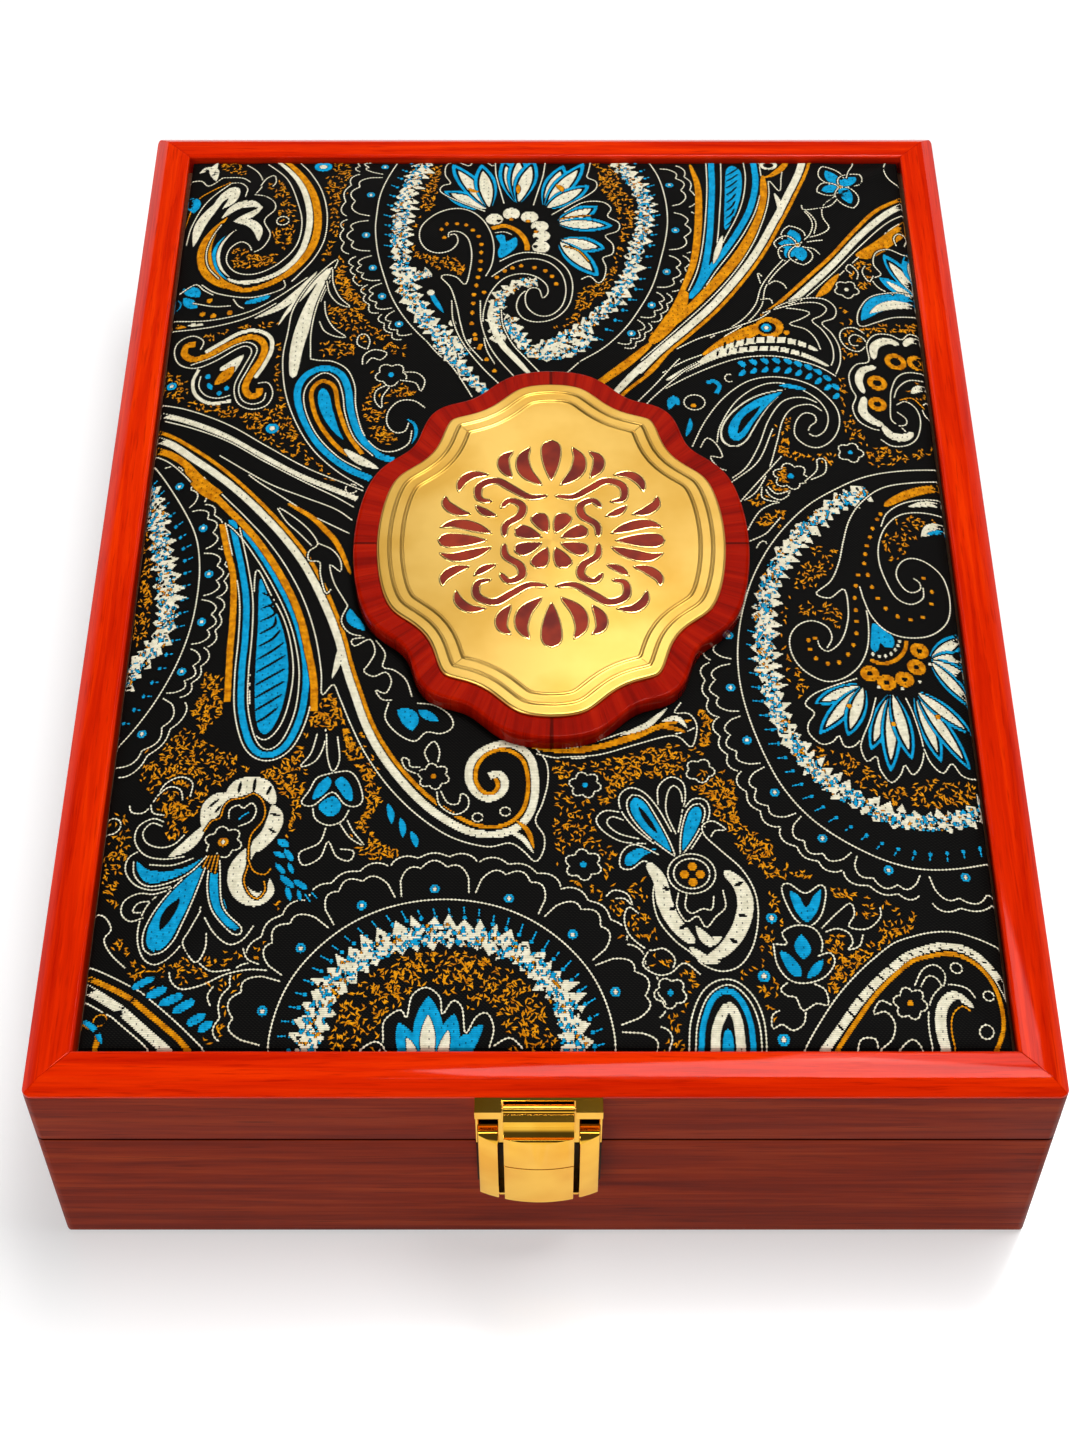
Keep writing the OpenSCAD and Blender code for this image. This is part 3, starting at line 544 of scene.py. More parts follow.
def smooth(points, closed=False, step=0.8):
    """A smooth line through the given points."""
    points = drawn(points)
    count = len(points)
    line = []
    for i in range(count if closed else count - 1):
        b, c = points[i], points[(i + 1) % count]
        a = points[i - 1] if closed or i else (2 * b[0] - c[0], 2 * b[1] - c[1])
        d = points[(i + 2) % count] if closed or i < count - 2 else (2 * c[0] - b[0], 2 * c[1] - b[1])
        parts = max(1, round(math.dist(b, c) / step))
        for t in (k / parts for k in range(parts)):
            line.append(tuple(
                0.5 * (2 * q + (r - p) * t + (2 * p - 5 * q + 4 * r - s) * t ** 2
                       + (3 * q - p - 3 * r + s) * t ** 3)
                for p, q, r, s in zip(a, b, c, d)))
    return line if closed else line + [points[-1]]


def edges_of(line, halves, closed=False):
    """The left and right edges of a ribbon along a line."""
    left, right = [], []
    for i, (x, y) in enumerate(line):
        a = line[i - 1] if closed or i else line[0]
        b = line[(i + 1) % len(line)] if closed or i < len(line) - 1 else line[-1]
        length = math.dist(a, b) or 1.0
        nx, ny = (a[1] - b[1]) / length * halves[i], (b[0] - a[0]) / length * halves[i]
        left.append((x + nx, y + ny))
        right.append((x - nx, y - ny))
    return left, right


def ribbon(yarn, line, halves, closed=False):
    """Fills a ribbon of changing width, one short stretch at a time, or beds a cord if it is fine."""
    fine = yarn != "ground" and 2 * max(halves) <= CORD_MOST
    if fine:
        cords.append((yarn, line + line[:1] if closed else line))
        halves = [CORD_BED / 2] * len(line)
    left, right = edges_of(line, halves, closed)
    face, bed = ("ground", len(cords)) if fine else (yarn, 0)
    for i in range(len(line) if closed else len(line) - 1):
        j = (i + 1) % len(line)
        fill(face, [left[i], left[j], right[j], right[i]], bed)


def thread(yarn, width, points):
    """An even line of yarn."""
    line = smooth(points)
    ribbon(yarn, line, [width / 2] * len(line))


def cord(yarn, line, closed=False):
    """One cord along a finished line."""
    ribbon(yarn, line, [CORD_BED / 2] * len(line), closed)


def trace(*paths, yarn="ivory", closed=False):
    """Cords along smooth lines."""
    for path in paths:
        cord(yarn, smooth(path, closed), closed)


def distances(line):
    """How far along a line each of its points lies."""
    run = [0.0]
    for a, b in zip(line, line[1:]):
        run.append(run[-1] + math.dist(a, b))
    return run


def swelling(form, t):
    """Share of its full width that a leaf, a drop or a blunt band has at a share t of its length."""
    if form != "drop":
        return max(0.0, math.sin(math.pi * t)) ** LEAF_TAPER[form]
    if t < DROP_HEAD:
        return math.sqrt(1 - (1 - t / DROP_HEAD) ** 2)
    return max(0.0, math.cos((t - DROP_HEAD) / (1 - DROP_HEAD) * math.pi / 2)) ** LEAF_TAPER[form]


def swelled(form, width, points):
    """The middle line of a leaf and its half widths."""
    line = smooth(points)
    run = distances(line)
    return line, [width / 2 * swelling(form, s / run[-1]) for s in run]


def leaf(yarn, width, points, form="leaf"):
    """A filled leaf, drop or band along a line."""
    ribbon(yarn, *swelled(form, width, points))


def rim(yarn, form, width, points):
    """A cord round a leaf, drop or band."""
    left, right = edges_of(*swelled(form, width, points))
    cord(yarn, left + right[-2:0:-1], True)


def blob(yarn, points):
    """A filled shape with a smooth outline."""
    fill(yarn, smooth(points, True))


def circle(x, y, radius, count=12):
    """Points of a circle."""
    turns = [2 * math.pi * k / count for k in range(count)]
    return [(x + radius * math.cos(turn), y + radius * math.sin(turn)) for turn in turns]


def dots(yarn, radius, points):
    """A row of round spots."""
    for x, y in drawn(points):
        fill(yarn, circle(x, y, radius))


def eye(x, y, radius=EYE_RADIUS):
    """A blue spot with a pale middle."""
    dots("blue", radius, [(x, y)])
    dots("ivory", max(0.5, radius * EYE_HEART), [(x, y)])


def ring(yarn, width, x, y, radius):
    """A round line."""
    line = circle(x, y, radius, 24)
    ribbon(yarn, line, [width / 2] * len(line), True)


def arc(x, y, radius, start, stop):
    """Points of an arc, with its ends in degrees."""
    count = max(2, round(abs(stop - start) / 12))
    turns = [math.radians(start + (stop - start) * k / count) for k in range(count + 1)]
    return [(x + radius * math.cos(turn), y + radius * math.sin(turn)) for turn in turns]


def walk(line, side=1):
    """A function that gives the point at a distance along a line and off to one side, and the length."""
    run = distances(line)

    def point(distance, off):
        """One point of the walk."""
        place = min(max(distance, 0.0), run[-1])
        i = min(max(bisect.bisect_right(run, place) - 1, 0), len(line) - 2)
        (ax, ay), (bx, by) = line[i], line[i + 1]
        length = math.dist((ax, ay), (bx, by)) or 1.0
        share = (place - run[i]) / length
        lean = side * off / length
        return ax + (bx - ax) * share - (by - ay) * lean, ay + (by - ay) * share + (bx - ax) * lean
    return point, run[-1]


def follow(points, side):
    """The same for a smooth line through the given points."""
    return walk(smooth(points, step=0.5), side)


def scallops(points, lobes, side, base, rise, gap):
    """Cloud lobes along a ring: a line of three bumps with deep notches, its echo, and an eye."""
    point, length = follow(points, side)
    pitch = length / lobes
    for k in range(lobes):
        inner, outer = [], []
        for t in (i / CLOUD_STEPS for i in range(CLOUD_STEPS + 1)):
            bump = abs(math.sin(CLOUD_BUMPS * math.pi * t))
            lift = max(0.0, math.sin(math.pi * t)) ** CLOUD_LIFT
            high = base + (rise - INNER_BUMP + INNER_BUMP * bump) * lift
            inner.append(point((k + INNER_SPAN[0] + INNER_SPAN[1] * t) * pitch, high))
            high = base + rise + gap - OUTER_SINK + OUTER_BUMP * bump + OUTER_LIFT * min(1, lift * 1.1)
            outer.append(point((k + t) * pitch, high))
        cord("ivory", inner)
        cord("ivory", outer)
        eye(*point((k + 0.5) * pitch, base + 1.0))


def dash(yarn, x, y, turn, length, width):
    """A short pick of yarn."""
    c, s = math.cos(turn) * length / 2, math.sin(turn) * length / 2
    nx, ny = -math.sin(turn) * width / 2, math.cos(turn) * width / 2
    fill(yarn, [(x - c, y - s), (x + nx, y + ny), (x + c, y + s), (x - nx, y - ny)])


def speckle(points, width):
    """A flame-edged band: ivory teeth on both sides of a core flecked with blue, gold and dark picks."""
    point, length = follow(points, 1)
    for side in (1, -1):
        spot = 0.0
        while spot < length:
            wide = TOOTH_WIDE[0] + TOOTH_WIDE[1] * scatter.random()
            tall = width * TOOTH_TIP[side] * (0.75 + 0.5 * scatter.random())
            lean = TOOTH_LEAN * (scatter.random() - 0.5)
            low, high = -side * width * TOOTH_ROOT[0], side * width * TOOTH_ROOT[1]
            fill("ivory", [
                point(spot, low), point(spot, high), point(spot + wide / 2 + lean, side * tall),
                point(spot + wide, high), point(spot + wide, low)])
            spot += wide
    for i in range(int(length * width * FLECK_SHARE)):
        x, y = point(scatter.random() * length, (scatter.random() - 0.5) * width * FLECK_REACH)
        yarn = scatter.choice(FLECK_YARNS)
        dash(yarn, x, y, scatter.random() * 3.14, 0.8 + 0.9 * scatter.random(), FLECK_WIDE)


def ticks(points, side, off, step, length=2.0):
    """Small blue pins that stand along a ring, each with a round head."""
    point, total = follow(points, side)
    for i in range(int(total / step) + 1):
        head = point(i * step + PIN_LEAN[1], off - length)
        trace([point(i * step + PIN_LEAN[0], off), head], yarn="blue")
        dots("blue", PIN_HEAD, [head])


def inside(x, y, outline):
    """Whether a point lies in an outline."""
    hit = False
    for (ax, ay), (bx, by) in zip(outline, outline[1:] + outline[:1]):
        if (ay > y) != (by > y) and x < (bx - ax) * (y - ay) / (by - ay) + ax:
            hit = not hit
    return hit


def stipple(outline, density, clear=()):
    """Short curled gold picks scattered inside an outline, which lie wherever the ground stays bare."""
    outline = drawn(outline)
    xs, ys = zip(*outline)
    width, height = max(xs) - min(xs), max(ys) - min(ys)
    for i in range(int(width * height * density * PICK_SHARE)):
        x, y = min(xs) + scatter.random() * width, min(ys) + scatter.random() * height
        turn, reach = 2 * math.pi * scatter.random(), 0.5 + 0.4 * scatter.random()
        curl = turn + math.pi + PICK_CURL * (scatter.random() - 0.5)
        if inside(x, y, outline) and not any(inside(x, y, hole) for hole in clear):
            ends = [(x + reach * math.cos(way), y + reach * math.sin(way)) for way in (turn, curl)]
            picks.append((ends[0], (x, y), ends[1]))


def toward(a, b, share):
    """The point at a share of the way from one point to another."""
    return a[0] + (b[0] - a[0]) * share, a[1] + (b[1] - a[1]) * share


def fans(widths, ends, *groups):
    """Fans of blue petals from a root to its tips, with a dark line inside each and an ivory heart."""
    for group in groups:
        root, *tips = drawn(group)
        for tip in tips:
            for yarn, width, start, end in zip(("blue", "ground", "ivory"), widths, (0, 0, 0.04), ends):
                leaf(yarn, width, [toward(root, tip, start), toward(root, tip, 0.5), toward(root, tip, end)])


def flower(x, y, radius, petals, turn, heart="blue"):
    """A small outlined flower with round petals."""
    line = []
    for i in range(petals * 8):
        angle = 2 * math.pi * i / (petals * 8)
        reach = radius * (FLOWER_NOTCH[0] + FLOWER_NOTCH[1] * abs(math.sin(petals * angle / 2)))
        line.append((x + reach * math.cos(angle + turn), y + reach * math.sin(angle + turn)))
    cord("ivory", line, True)
    dots(heart, radius * FLOWER_HEART, [(x, y)])


def piped(yarn, width, points):
    """A coloured band with a fine ivory line along each edge."""
    line = smooth(points)
    ribbon(yarn, line, [width / 2] * len(line))
    for edge in edges_of(line, [width / 2 + PIPE_GAP] * len(line)):
        cord("ivory", edge)


# Corner spiral, top left
trace(
    "-78,142 -72,134 -68,122 -66.3,112 -67.5,103 -72,96.5 -78,93.5 -83,94.5 -86,99 -85.6,104 -82.8,106.6 "
    "-80.4,105.2 -79.2,102",
    "-79.2,102 -76.4,104 -74.8,109 -76.8,114.6 -74.2,118 -74.4,122 -77,125 -80.5,125.6")
leaf("ivory", 1.9,
    "-77,146 -70.5,136.5 -66.5,127 -64.5,117 -64.5,108 -66.4,99.5 -70.5,93.8 -76,91 -81.5,90.4 "
    "-86,92.6", "band")
leaf("blue", 1.4, "-85,91.5 -88.3,96 -89.8,101 -89.3,106 -87,110")
leaf("ivory", 1.1, "-84,92 -87,96 -88.5,101 -88,106 -85.5,110.6 -83.5,112")
leaf("gold", 2.3,
    "-76,148 -69,137.5 -64.4,127 -62.3,117 -62.2,107 -64.6,99 -69,92.4 -75,88.6 -81,87.4 -86,89.5", "band")
leaf("gold", 4.2, "-80,87.6 -86.5,90.5 -91,96.5 -92.6,104 -91.2,111 -87,117.5")
trace("-87.5,92.5 -91,98 -92,104 -90.8,110 -88.4,115")
trace("-69,143 -65.5,137 -61.6,127 -59.7,117 -59.7,107 -62,99 -66,92 -68,89")
trace("-70,90.5 -69.6,87 -75,84.8 -81,84.6 -88,87.2 -92.5,91.5")
leaf("ivory", 3.4, "-96,107 -94.6,116 -91,122.5 -88,126")
leaf("ivory", 3.4, "-92,122 -88,127 -86,127.6 -86.5,124 -89,121")
leaf("ivory", 2.8, "-89,117 -85,121.3 -80.8,121.8 -77.4,119.4")
leaf("ivory", 2.4, "-77.4,120.2 -80.5,117.6 -85.4,115.2")
leaf("ivory", 3.0, "-85.4,115.3 -80.8,114.2 -78.3,111 -77.8,106.4")
trace("-98,108 -97,116 -93.5,125 -88,130.5 -84.5,131.5 -82.4,128.5 -82.8,124.5")
trace("-100,134.6 -96,134.4 -93.5,131.8 -89,134.2 -84.5,134.4 -81.8,132")
trace("-99,116 -97.5,123 -95.5,127.5 -91,130.2 -87,131.6", yarn="gold")
trace("-84,142 -80,137 -78.4,131 -80,126", "-79,130 -77.5,134 -75.5,135.6 -74.8,132 -75.6,129.8")
leaf("ivory", 2.6, "-97,138 -93,139 -91.5,133")
leaf("ivory", 2.2, "-92,143 -93,138 -91.5,133")
ring("ivory", 0.6, -71.6, 113.6, 1.7)
leaf("blue", 4.0, "-100,127 -97.5,125.5 -97,121")
stipple("-78,131 -74,133 -69,124 -67.5,112 -70,101 -75,108 -73,118 -75,125", 0.8)
stipple("-85,104 -82,106 -79,101 -72,101 -73,97 -80,95 -84,97", 0.9)
stipple("-92,143 -86,143 -82,136 -88,136", 0.6)
stipple("-60,143 -55,143 -53,130 -57,120 -55,112 -58,98 -61,93 -58.6,105 -58.6,118 -61,131", 0.7)
eye(-62.2, 140.5, 2.6)

# Lines that sweep in from the left edge and end in the long pale leaf
leaf("blue", 3.6, "-97.5,90.5 -94,88.5 -92.3,86.5")
leaf("blue", 3.0, "-97,87 -94.5,84 -92.5,82.2")
leaf("blue", 3.0, "-100,87 -98.5,84.5 -99,82")
trace("-98.5,88.5 -94,91.6 -91.5,89 -88.5,86.4", "-94,84.4 -88,82 -83.5,81.6", "-83,84 -81.5,81.4 -79.6,80")
dots("gold", 0.9, "-89.5,84.6 -91,79.6 -88,78.4 -83.6,79")
leaf("blue", 1.9, "-80,82.2 -77,83 -73,84.4", "band")
trace("-101,79 -92,77 -84,77.2 -77,79.6 -70,84.4 -63.5,91", "-101,74.8 -92,74 -84,74.8 -77,77.4 -71,81.5")
leaf("gold", 1.4, "-101,76.6 -98,76.2 -95,75.4")
leaf("ivory", 1.2, "-95,76 -92,75.6 -90,75.6")
leaf("ivory", 2.6, "-77,76 -70,80 -65,86 -61,93.5")
leaf("ivory", 1.6, "-70.5,72 -68,78 -63.5,85.5 -58,95")
leaf("ivory", 3.9, "-65.2,53 -64.8,64 -63,75 -60,86 -57,95", "band")
trace("-67.5,70 -66.5,79 -62,90 -55.8,98 -58.2,89 -60.4,80 -61.4,70 -61,60")
trace("-58.4,90 -57.2,84.5 -54.5,80.6 -51.6,79.6 -54.5,83.2 -56.5,88.5 -57,94")
trace("-59.6,74.5 -58,70.5 -55,68.4 -52.2,68.2 -55.5,71.5 -57.8,76.5 -58.5,82")
stipple("-58,90 -53,92 -50,82 -53,82", 0.7)
stipple("-58,80 -49,79 -45,72 -37,68 -35,60 -40,62 -45,66 -51,60 -58,61 -60,66 -52,67 -56,73", 0.65)

# Small S-shaped leaf and its bud
thread("gold", 2.0,
    "-91.8,68.4 -94.2,68 -94.6,65 -92,62.6 -88,63.4 -83,66.7 -78,69 -74.8,67.8 -73.2,64.4 -74,60 "
    "-76.4,54.5 -77.3,49.8 -75.6,46.8 -73.6,47.6 -73.6,49.6")
thread("ivory", 1.3, "-89,64.6 -85,67.6 -80,71 -75.5,71.2 -72,68.2 -71.4,63.5 -73,58 -75,53.5")
trace(
    "-90.5,65.5 -89.8,69 -93,71.6 -96.6,70 -97.4,66 -95.5,61.4 -91,59.2 -86,61 -80.5,65 -78,65.6 "
    "-76.6,63.2 -78.4,57.5 -80.2,51 -79,45 -75.4,42.2 -71.4,43.2 -70,47.4 -71.5,51.4 -74.6,51.4",
    "-92.5,60.6 -87,62.4 -81,66.4 -77.6,67 -75.2,64 -77,57.5 -79,51 -78,46 -75.2,44 -72.4,45 -71.8,48")
blob("ivory", "-78.6,62.4 -84.6,58.2 -83.4,57 -80.6,58.4 -81,55")
leaf("gold", 3.4, "-85.6,52 -83,55 -80.8,58.6")
leaf("blue", 1.6, "-88,56.4 -87,54.4", "band")
leaf("blue", 1.4, "-87.4,53 -86,50.4", "band")
dots("blue", 0.8, "-84,48.8 -82.2,50.4")
thread("ivory", 1.1, "-90.2,58.6 -91.4,54 -90,48.8 -86,45.4 -80.6,45.6")
trace("-89.4,56.4 -89.6,52 -87.4,48.4 -84,47 -80.8,47.8")
eye(-97, 53.8, 1.5)
eye(-69.3, 35, 1.8)
stipple(
    "-100,52 -90,44 -78,38 -68,28 -58,19 -49,13.5 -50,17 -58,24 -64,36 -67.6,48 -68,70 -70,66 -70,52 "
    "-68,44 -76,40.6 -81,44 -92,47 -93,56 -100,60", 0.75)
stipple("-91,73 -76,74 -70,74 -70,71 -76,72.6 -86,70 -88,66 -89,70", 0.5)

# Small teardrop beside the plaque
trace(
    "-67.5,70 -68.2,60 -66.8,48 -63.4,37 -58.5,27.5 -52,20 -45,14.5",
    "-61,60 -58.5,59.4 -55,59 -51.2,56 -49,50 -48.4,42.5 -46.2,33.5 -42.5,28 -38.5,27 -34.6,29.8 "
    "-33.8,34.5")
thread("blue", 2.0,
    "-43.5,17.6 -50,21.4 -57,29 -61.8,39 -63.7,47.6 -62,53.6 -57.5,56.6 -53,54.6 -50.7,49 -49.6,41 "
    "-47,32.6 -42.4,26 -38,24")
trace("-46,20.6 -52,25 -58,33 -61.6,43 -61.4,50 -57.5,54.8 -53.8,52.6 -52,47 -51,40 -48.2,31.4 -43,25")
thread("gold", 1.3, "-46,23.4 -52,28 -57.6,37 -60,46 -59.2,50.4 -57,51.8 -54.2,49.5 -52.8,42 -50,33 -46,26")
leaf("ivory", 2.6, "-51,28 -46.5,23.8 -41.5,21")
leaf("blue", 3.4, "-57.3,49.4 -56,42 -53.4,35 -50.8,30.6", "drop")
ring("ivory", 0.6, -48.2, 14.2, 1.5)

# Flower sprig and curl over the plaque's left shoulder
flower(-39.8, 54.2, 4.2, 5, 0.3)
trace(
    "-36.4,55.2 -33,54.8 -31,52 -32,48.2 -33.4,51.2 -37.4,52.2",
    "-40.8,50.4 -43.4,48.4 -43.6,44.8 -41.8,42.2 -41.8,46 -40,49.8",
    "-47.4,57.4 -47.2,61.2 -44.6,63.4 -41.2,62.2 -42.8,59.6 -45,60.4 -46.6,58",
    "-46.4,63.4 -49,65.4 -48.8,68.6 -47,69.2 -45.8,66.6 -46.4,63.4",
    "-34.6,37.4 -35.6,34 -38.2,33.6 -40.2,36.6 -40,41 -37.4,44.6 -33.6,44.8 -30.4,42")
leaf("blue", 1.1, "-35.6,38.6 -33.2,36.4 -32.8,33 -33.8,29.6")
stipple("-46,58 -44,50 -47,44 -44,32 -40,29 -36,33 -41,38 -40,46 -33,47 -36,50 -42,52", 0.75)
stipple("-38,52 -34,50 -33,46 -38,46", 0.7)

# Ring that comes in from the left edge
LEFT = (
    "-101,29 -95.5,20 -90,9.5 -86,0 -84.2,-9 -83.8,-18 -84.4,-28 -86.2,-37.5 -89.2,-46.5 -93,-54.5 -98,-62 "
    "-103,-67")
trace(LEFT)
scallops("-98,24.5 -94,17 -89.4,8", 1, 1, 1.3, 4.6, 1.6)
scallops("-89.4,8 -86,0 -84.2,-9 -83.8,-18 -84.4,-28 -86.2,-37.5 -90.4,-49", 4, 1, 1.3, 4.6, 1.6)
scallops("-90.4,-49 -93,-54.5 -98,-62 -103,-67", 1, 1, 1.6, 6.0, 1.8)
ticks(LEFT, 1, -1.6, 4.4)
speckle("-100,18 -97.5,11 -95.5,3 -93.6,-6 -92,-15 -90.8,-25 -92.4,-33 -96.5,-39.5 -101,-45", 6.5)
stipple("-100,10 -98,2 -96.5,-8 -95,-20 -95,-30 -100,-36", 0.9)

# Great teardrop and its stem
blob("blue",
    "-69,-15.5 -66.4,-21 -63.4,-28 -61.2,-36 -60.2,-45 -60.9,-54 -62.5,-60 -64.6,-62.6 -66.6,-60 -67.7,-52 "
    "-68.2,-42 -68.5,-30")
trace(
    "-70,-12.6 -65.9,-20.5 -62.4,-28 -60.2,-36 -59.1,-45 -59.8,-54.5 -61.6,-61 -64.6,-64.2 -67.6,-61 "
    "-68.8,-52 -69.3,-42 -69.6,-28",
    closed=True)
for k in range(10):
    y = -25 - 3.9 * k
    leaf("ground", 0.6, [(-68, y), (-64.6, y + 2.6), (-60.8 - 0.012 * (y + 50) ** 2, y + 5.4)], "band")
piped("blue", 1.7,
    "-77.4,4.2 -75.8,-2.5 -73.6,-12 -71.8,-22 -71.2,-33 -71.2,-45 -70.4,-56 -67.6,-65.6 -63.6,-68.6 "
    "-59.4,-65.6 -56.6,-57 -56,-47 -57,-38 -59.6,-28 -64,-17.5 -70,-6 -74.5,1 -77.4,4.2")
thread("gold", 1.7, "-79.6,3 -77.6,-6 -75.6,-14 -74.7,-25 -74.5,-38 -74,-53")
thread("gold", 1.9,
    "-88.4,21 -84,15.2 -79,8.4 -73,0.8 -67.4,-8 -62,-18.5 -58.4,-28 -56,-38 -54.2,-47 -53.6,-56")
leaf("gold", 3.4, "-91,24 -86.5,17 -81,10")
trace(
    "-86,20 -80,12.5 -74,5 -68,-3 -62.6,-12 -58,-22 -54.6,-33 -52.6,-44 -52,-51 -49.6,-48 -48,-51.5 "
    "-44.8,-60 -41,-68.5 -35.5,-77.5 -28.6,-85.5 -21,-91.4 -13,-94 -8,-93 -5,-95 -2.2,-98 -0.4,-95 "
    "-0.3,-91 -2.2,-87 -0.6,-82 0.6,-76 0.2,-70.5 -2.6,-66")
thread("ivory", 2.0,
    "-101,36.4 -95,32.5 -88.5,26 -82,19.6 -76,13.2 -70,6 -64,-2 -58.4,-11 -53.4,-22 -49.4,-33 -46.8,-43 "
    "-44.2,-51.5 -41.4,-60 -38,-67.4 -33.6,-74.5 -28.2,-81.4 -22.2,-86.8 -16,-90.2 -9.6,-90.4 -5,-87.4 "
    "-2.8,-82.5 -2.3,-76 -3.2,-70 -5.7,-66.6 -9.2,-65.2 -13.2,-66.6 -16.6,-70 -17.4,-75 -15.6,-79.2 "
    "-12.6,-80.8 -9.8,-79 -9.2,-76 -10.6,-73.9 -12.8,-74.6")
thread("gold", 1.1,
    "-101,39 -95,35.2 -88,28.8 -81,21.8 -74.8,14.8 -68.8,7.4 -62.8,-0.6 -57,-9.8 -52,-21 -48,-32.5 "
    "-45.4,-42.5 -42.8,-51 -40,-59.4 -36.4,-66.8 -32,-73.6 -26.6,-80 -20.8,-85 -15.2,-88.2 -10,-88.4 "
    "-6.4,-86 -4.4,-82 -3.9,-76 -4.8,-70.8 -7,-68 -10,-67 -13.4,-68.4 -15.6,-72 -15.7,-76 -14,-79 "
    "-11.8,-79.2 -10.7,-77.2 -11.4,-75.2")
leaf("gold", 1.3, "-7,-86.5 -4,-89.6 -2.4,-95")
leaf("ivory", 1.4, "-10,-89 -5.4,-91.4 -2.4,-96")
leaf("ivory", 1.6, "-48.6,-36 -49,-42 -50,-46.4")
thread("gold", 2.0, "-101,32.6 -95,29 -90.6,24.6 -86,18.4 -81,13")
trace("-101,30.6 -95.4,26.6 -91,21.4 -88.6,18")
trace("-101,48.2 -92,44.2 -80,36.6 -70,28.6 -60,21.4 -50,16 -45,13.4")
thread("ivory", 1.6, "-101,44.8 -94,41.4 -82,33.8 -72,26 -62,19 -52,13.6 -46.6,10.8")
trace("-98,41.6 -90,37.2 -80,31 -70,23.2 -60,16.4 -52,11.4 -47,7.8")
trace("-78,23.4 -72,17 -65,11.2 -58,5.6 -52.5,2 -47.6,-0.8")
trace("-82,26.4 -75,20.6 -68,15.4 -60,11.4 -52,7.4 -47.4,3.6")
leaf("gold", 1.6, "-64,9.4 -58,5 -54,0.4 -50.6,-4.6 -47,-14", "band")
trace(
    "-66.4,8 -64.4,6.8 -60,2.8 -57,-1 -55.6,-4.4 -57.6,-6.6 -57.4,-9.6 -54.8,-10 -54.4,-14 -52.8,-20 "
    "-51.4,-18.4",
    "-55.4,-4 -52,-6 -49.8,-9.4 -49.6,-13 -52.2,-11 -51,-16.5 -48.8,-21 -47.2,-24",
    "-66.4,8 -63.6,3 -60.4,-0.6 -56.8,-5")
leaf("blue", 3.0, "-46.8,-24.6 -46,-28 -42.8,-31.4")
trace(
    "-47.4,-24 -48.6,-28.6 -46.4,-32.4 -42.4,-33.4",
    "-42.4,-33.6 -45.8,-34.4 -45,-36.4 -41.6,-34.2 -40.2,-38 -41.6,-42 -42.6,-44 -40.2,-45.6 -37.4,-44.2 "
    "-36,-47 -37.2,-50.6 -39.6,-49.6 -38,-52.4 -35.4,-52.6",
    "-40.4,-34 -37.8,-38.4 -38.2,-42.6 -35.6,-43.4 -32.6,-46.4 -31,-51.6")

# Blue flower on the stem
leaf("blue", 4.4, "-34.4,-55.4 -31.6,-57.6 -30.6,-61.6")
leaf("blue", 2.6, "-29.6,-55.4 -27,-57.2 -24.6,-58.6")
trace("-36.4,-53.4 -37,-58 -34,-62.4 -30,-64.6 -27.4,-62 -24,-62.4 -21.4,-60.4 -22,-57 -25.6,-54 -30,-53.4")
flower(-25.4, -74.6, 3.7, 6, 0.2, "gold")
trace(
    "-26.4,-71 -27.6,-67.6 -25.6,-64.6 -24.2,-67.4 -24.6,-71",
    "-29,-74 -31.8,-72.4 -32.8,-69.4 -31.2,-69.8 -30.8,-71.8 -28.4,-72",
    "-24.6,-78.4 -23.8,-82.6 -20.4,-85.2 -17.6,-83.6 -17.4,-80.6 -19,-79.4 -19.6,-82.2 -22,-82 -23.8,-78.4")
ring("ivory", 0.6, -15.2, -86, 1.2)
ring("ivory", 0.6, -9, -84.4, 1.2)
for a, b in (((-35.6, -82), (-34.4, -88)), ((-32.6, -86), (-31.8, -91.6)), ((-30.2, -89.6),
        (-28.6, -94.4))):
    leaf("blue", 1.7, [a, ((a[0] + b[0]) / 2 + 0.3, (a[1] + b[1]) / 2), b])
stipple(
    "-47,-58 -42,-62 -38,-72 -37,-82 -40,-88 -37,-93 -31,-96 -40,-98 -44,-90 -40.4,-84 -41.4,-74 "
    "-46,-68", 1.3)
stipple("-54,-51 -49.6,-50 -47,-57 -49,-62 -55,-60", 1.4)
stipple("-80,-44 -75,-46 -75,-56 -79,-62 -82,-56", 1.4)
stipple(
    "-83,-60 -76,-66 -62,-74 -55,-66 -54,-80 -58,-92 -56,-80 -66,-72 -76,-78 -80,-88 -92,-76 -94,-66", 0.8)
stipple("-60,-60 -54,-62 -56,-70 -62,-74", 0.6)

# Lobed ring at the bottom edge
RING = arc(-22, -145, 37, 184, -4)
trace(RING)
scallops(arc(-22, -145, 37, 177, 9.5), 7, 1, 1.8, 8.6, 2.3)
scallops(arc(-22, -145, 37, 9.5, -14), 1, 1, 1.8, 8.6, 2.3)
ticks(RING, 1, -1.8, 3.6, 2.6)
speckle(arc(-22, -145, 28.5, 180, 0), 7.5)
stipple(arc(-22, -145, 24.5, 180, 0), 0.9, [[(-36, -146), (-35, -137), (-31, -134), (-28.6, -129.4),
    (-25, -128.6), (-21.6, -131), (-18, -131.4), (-16, -134.6), (-11.4, -133.4), (-9, -139), (-6, -146)]])
for x, y, w in ((-25, -131.4, 6.6), (-31.4, -137.2, 4.6), (-19.4, -135.2, 5.0), (-13.2, -137.6, 4.0)):
    leaf("blue", w, [(x * 0.35 - 16.4, -147.5), (x * 0.75 - 6.2, -141), (x, y)])
for x, y, w in ((-25, -135.4, 3.4), (-29.6, -140.4, 2.2), (-20.6, -138.8, 2.4)):
    leaf("ivory", w, [(x * 0.4 - 15, -147.5), (x * 0.8 - 5, -142.4), (x, y)])
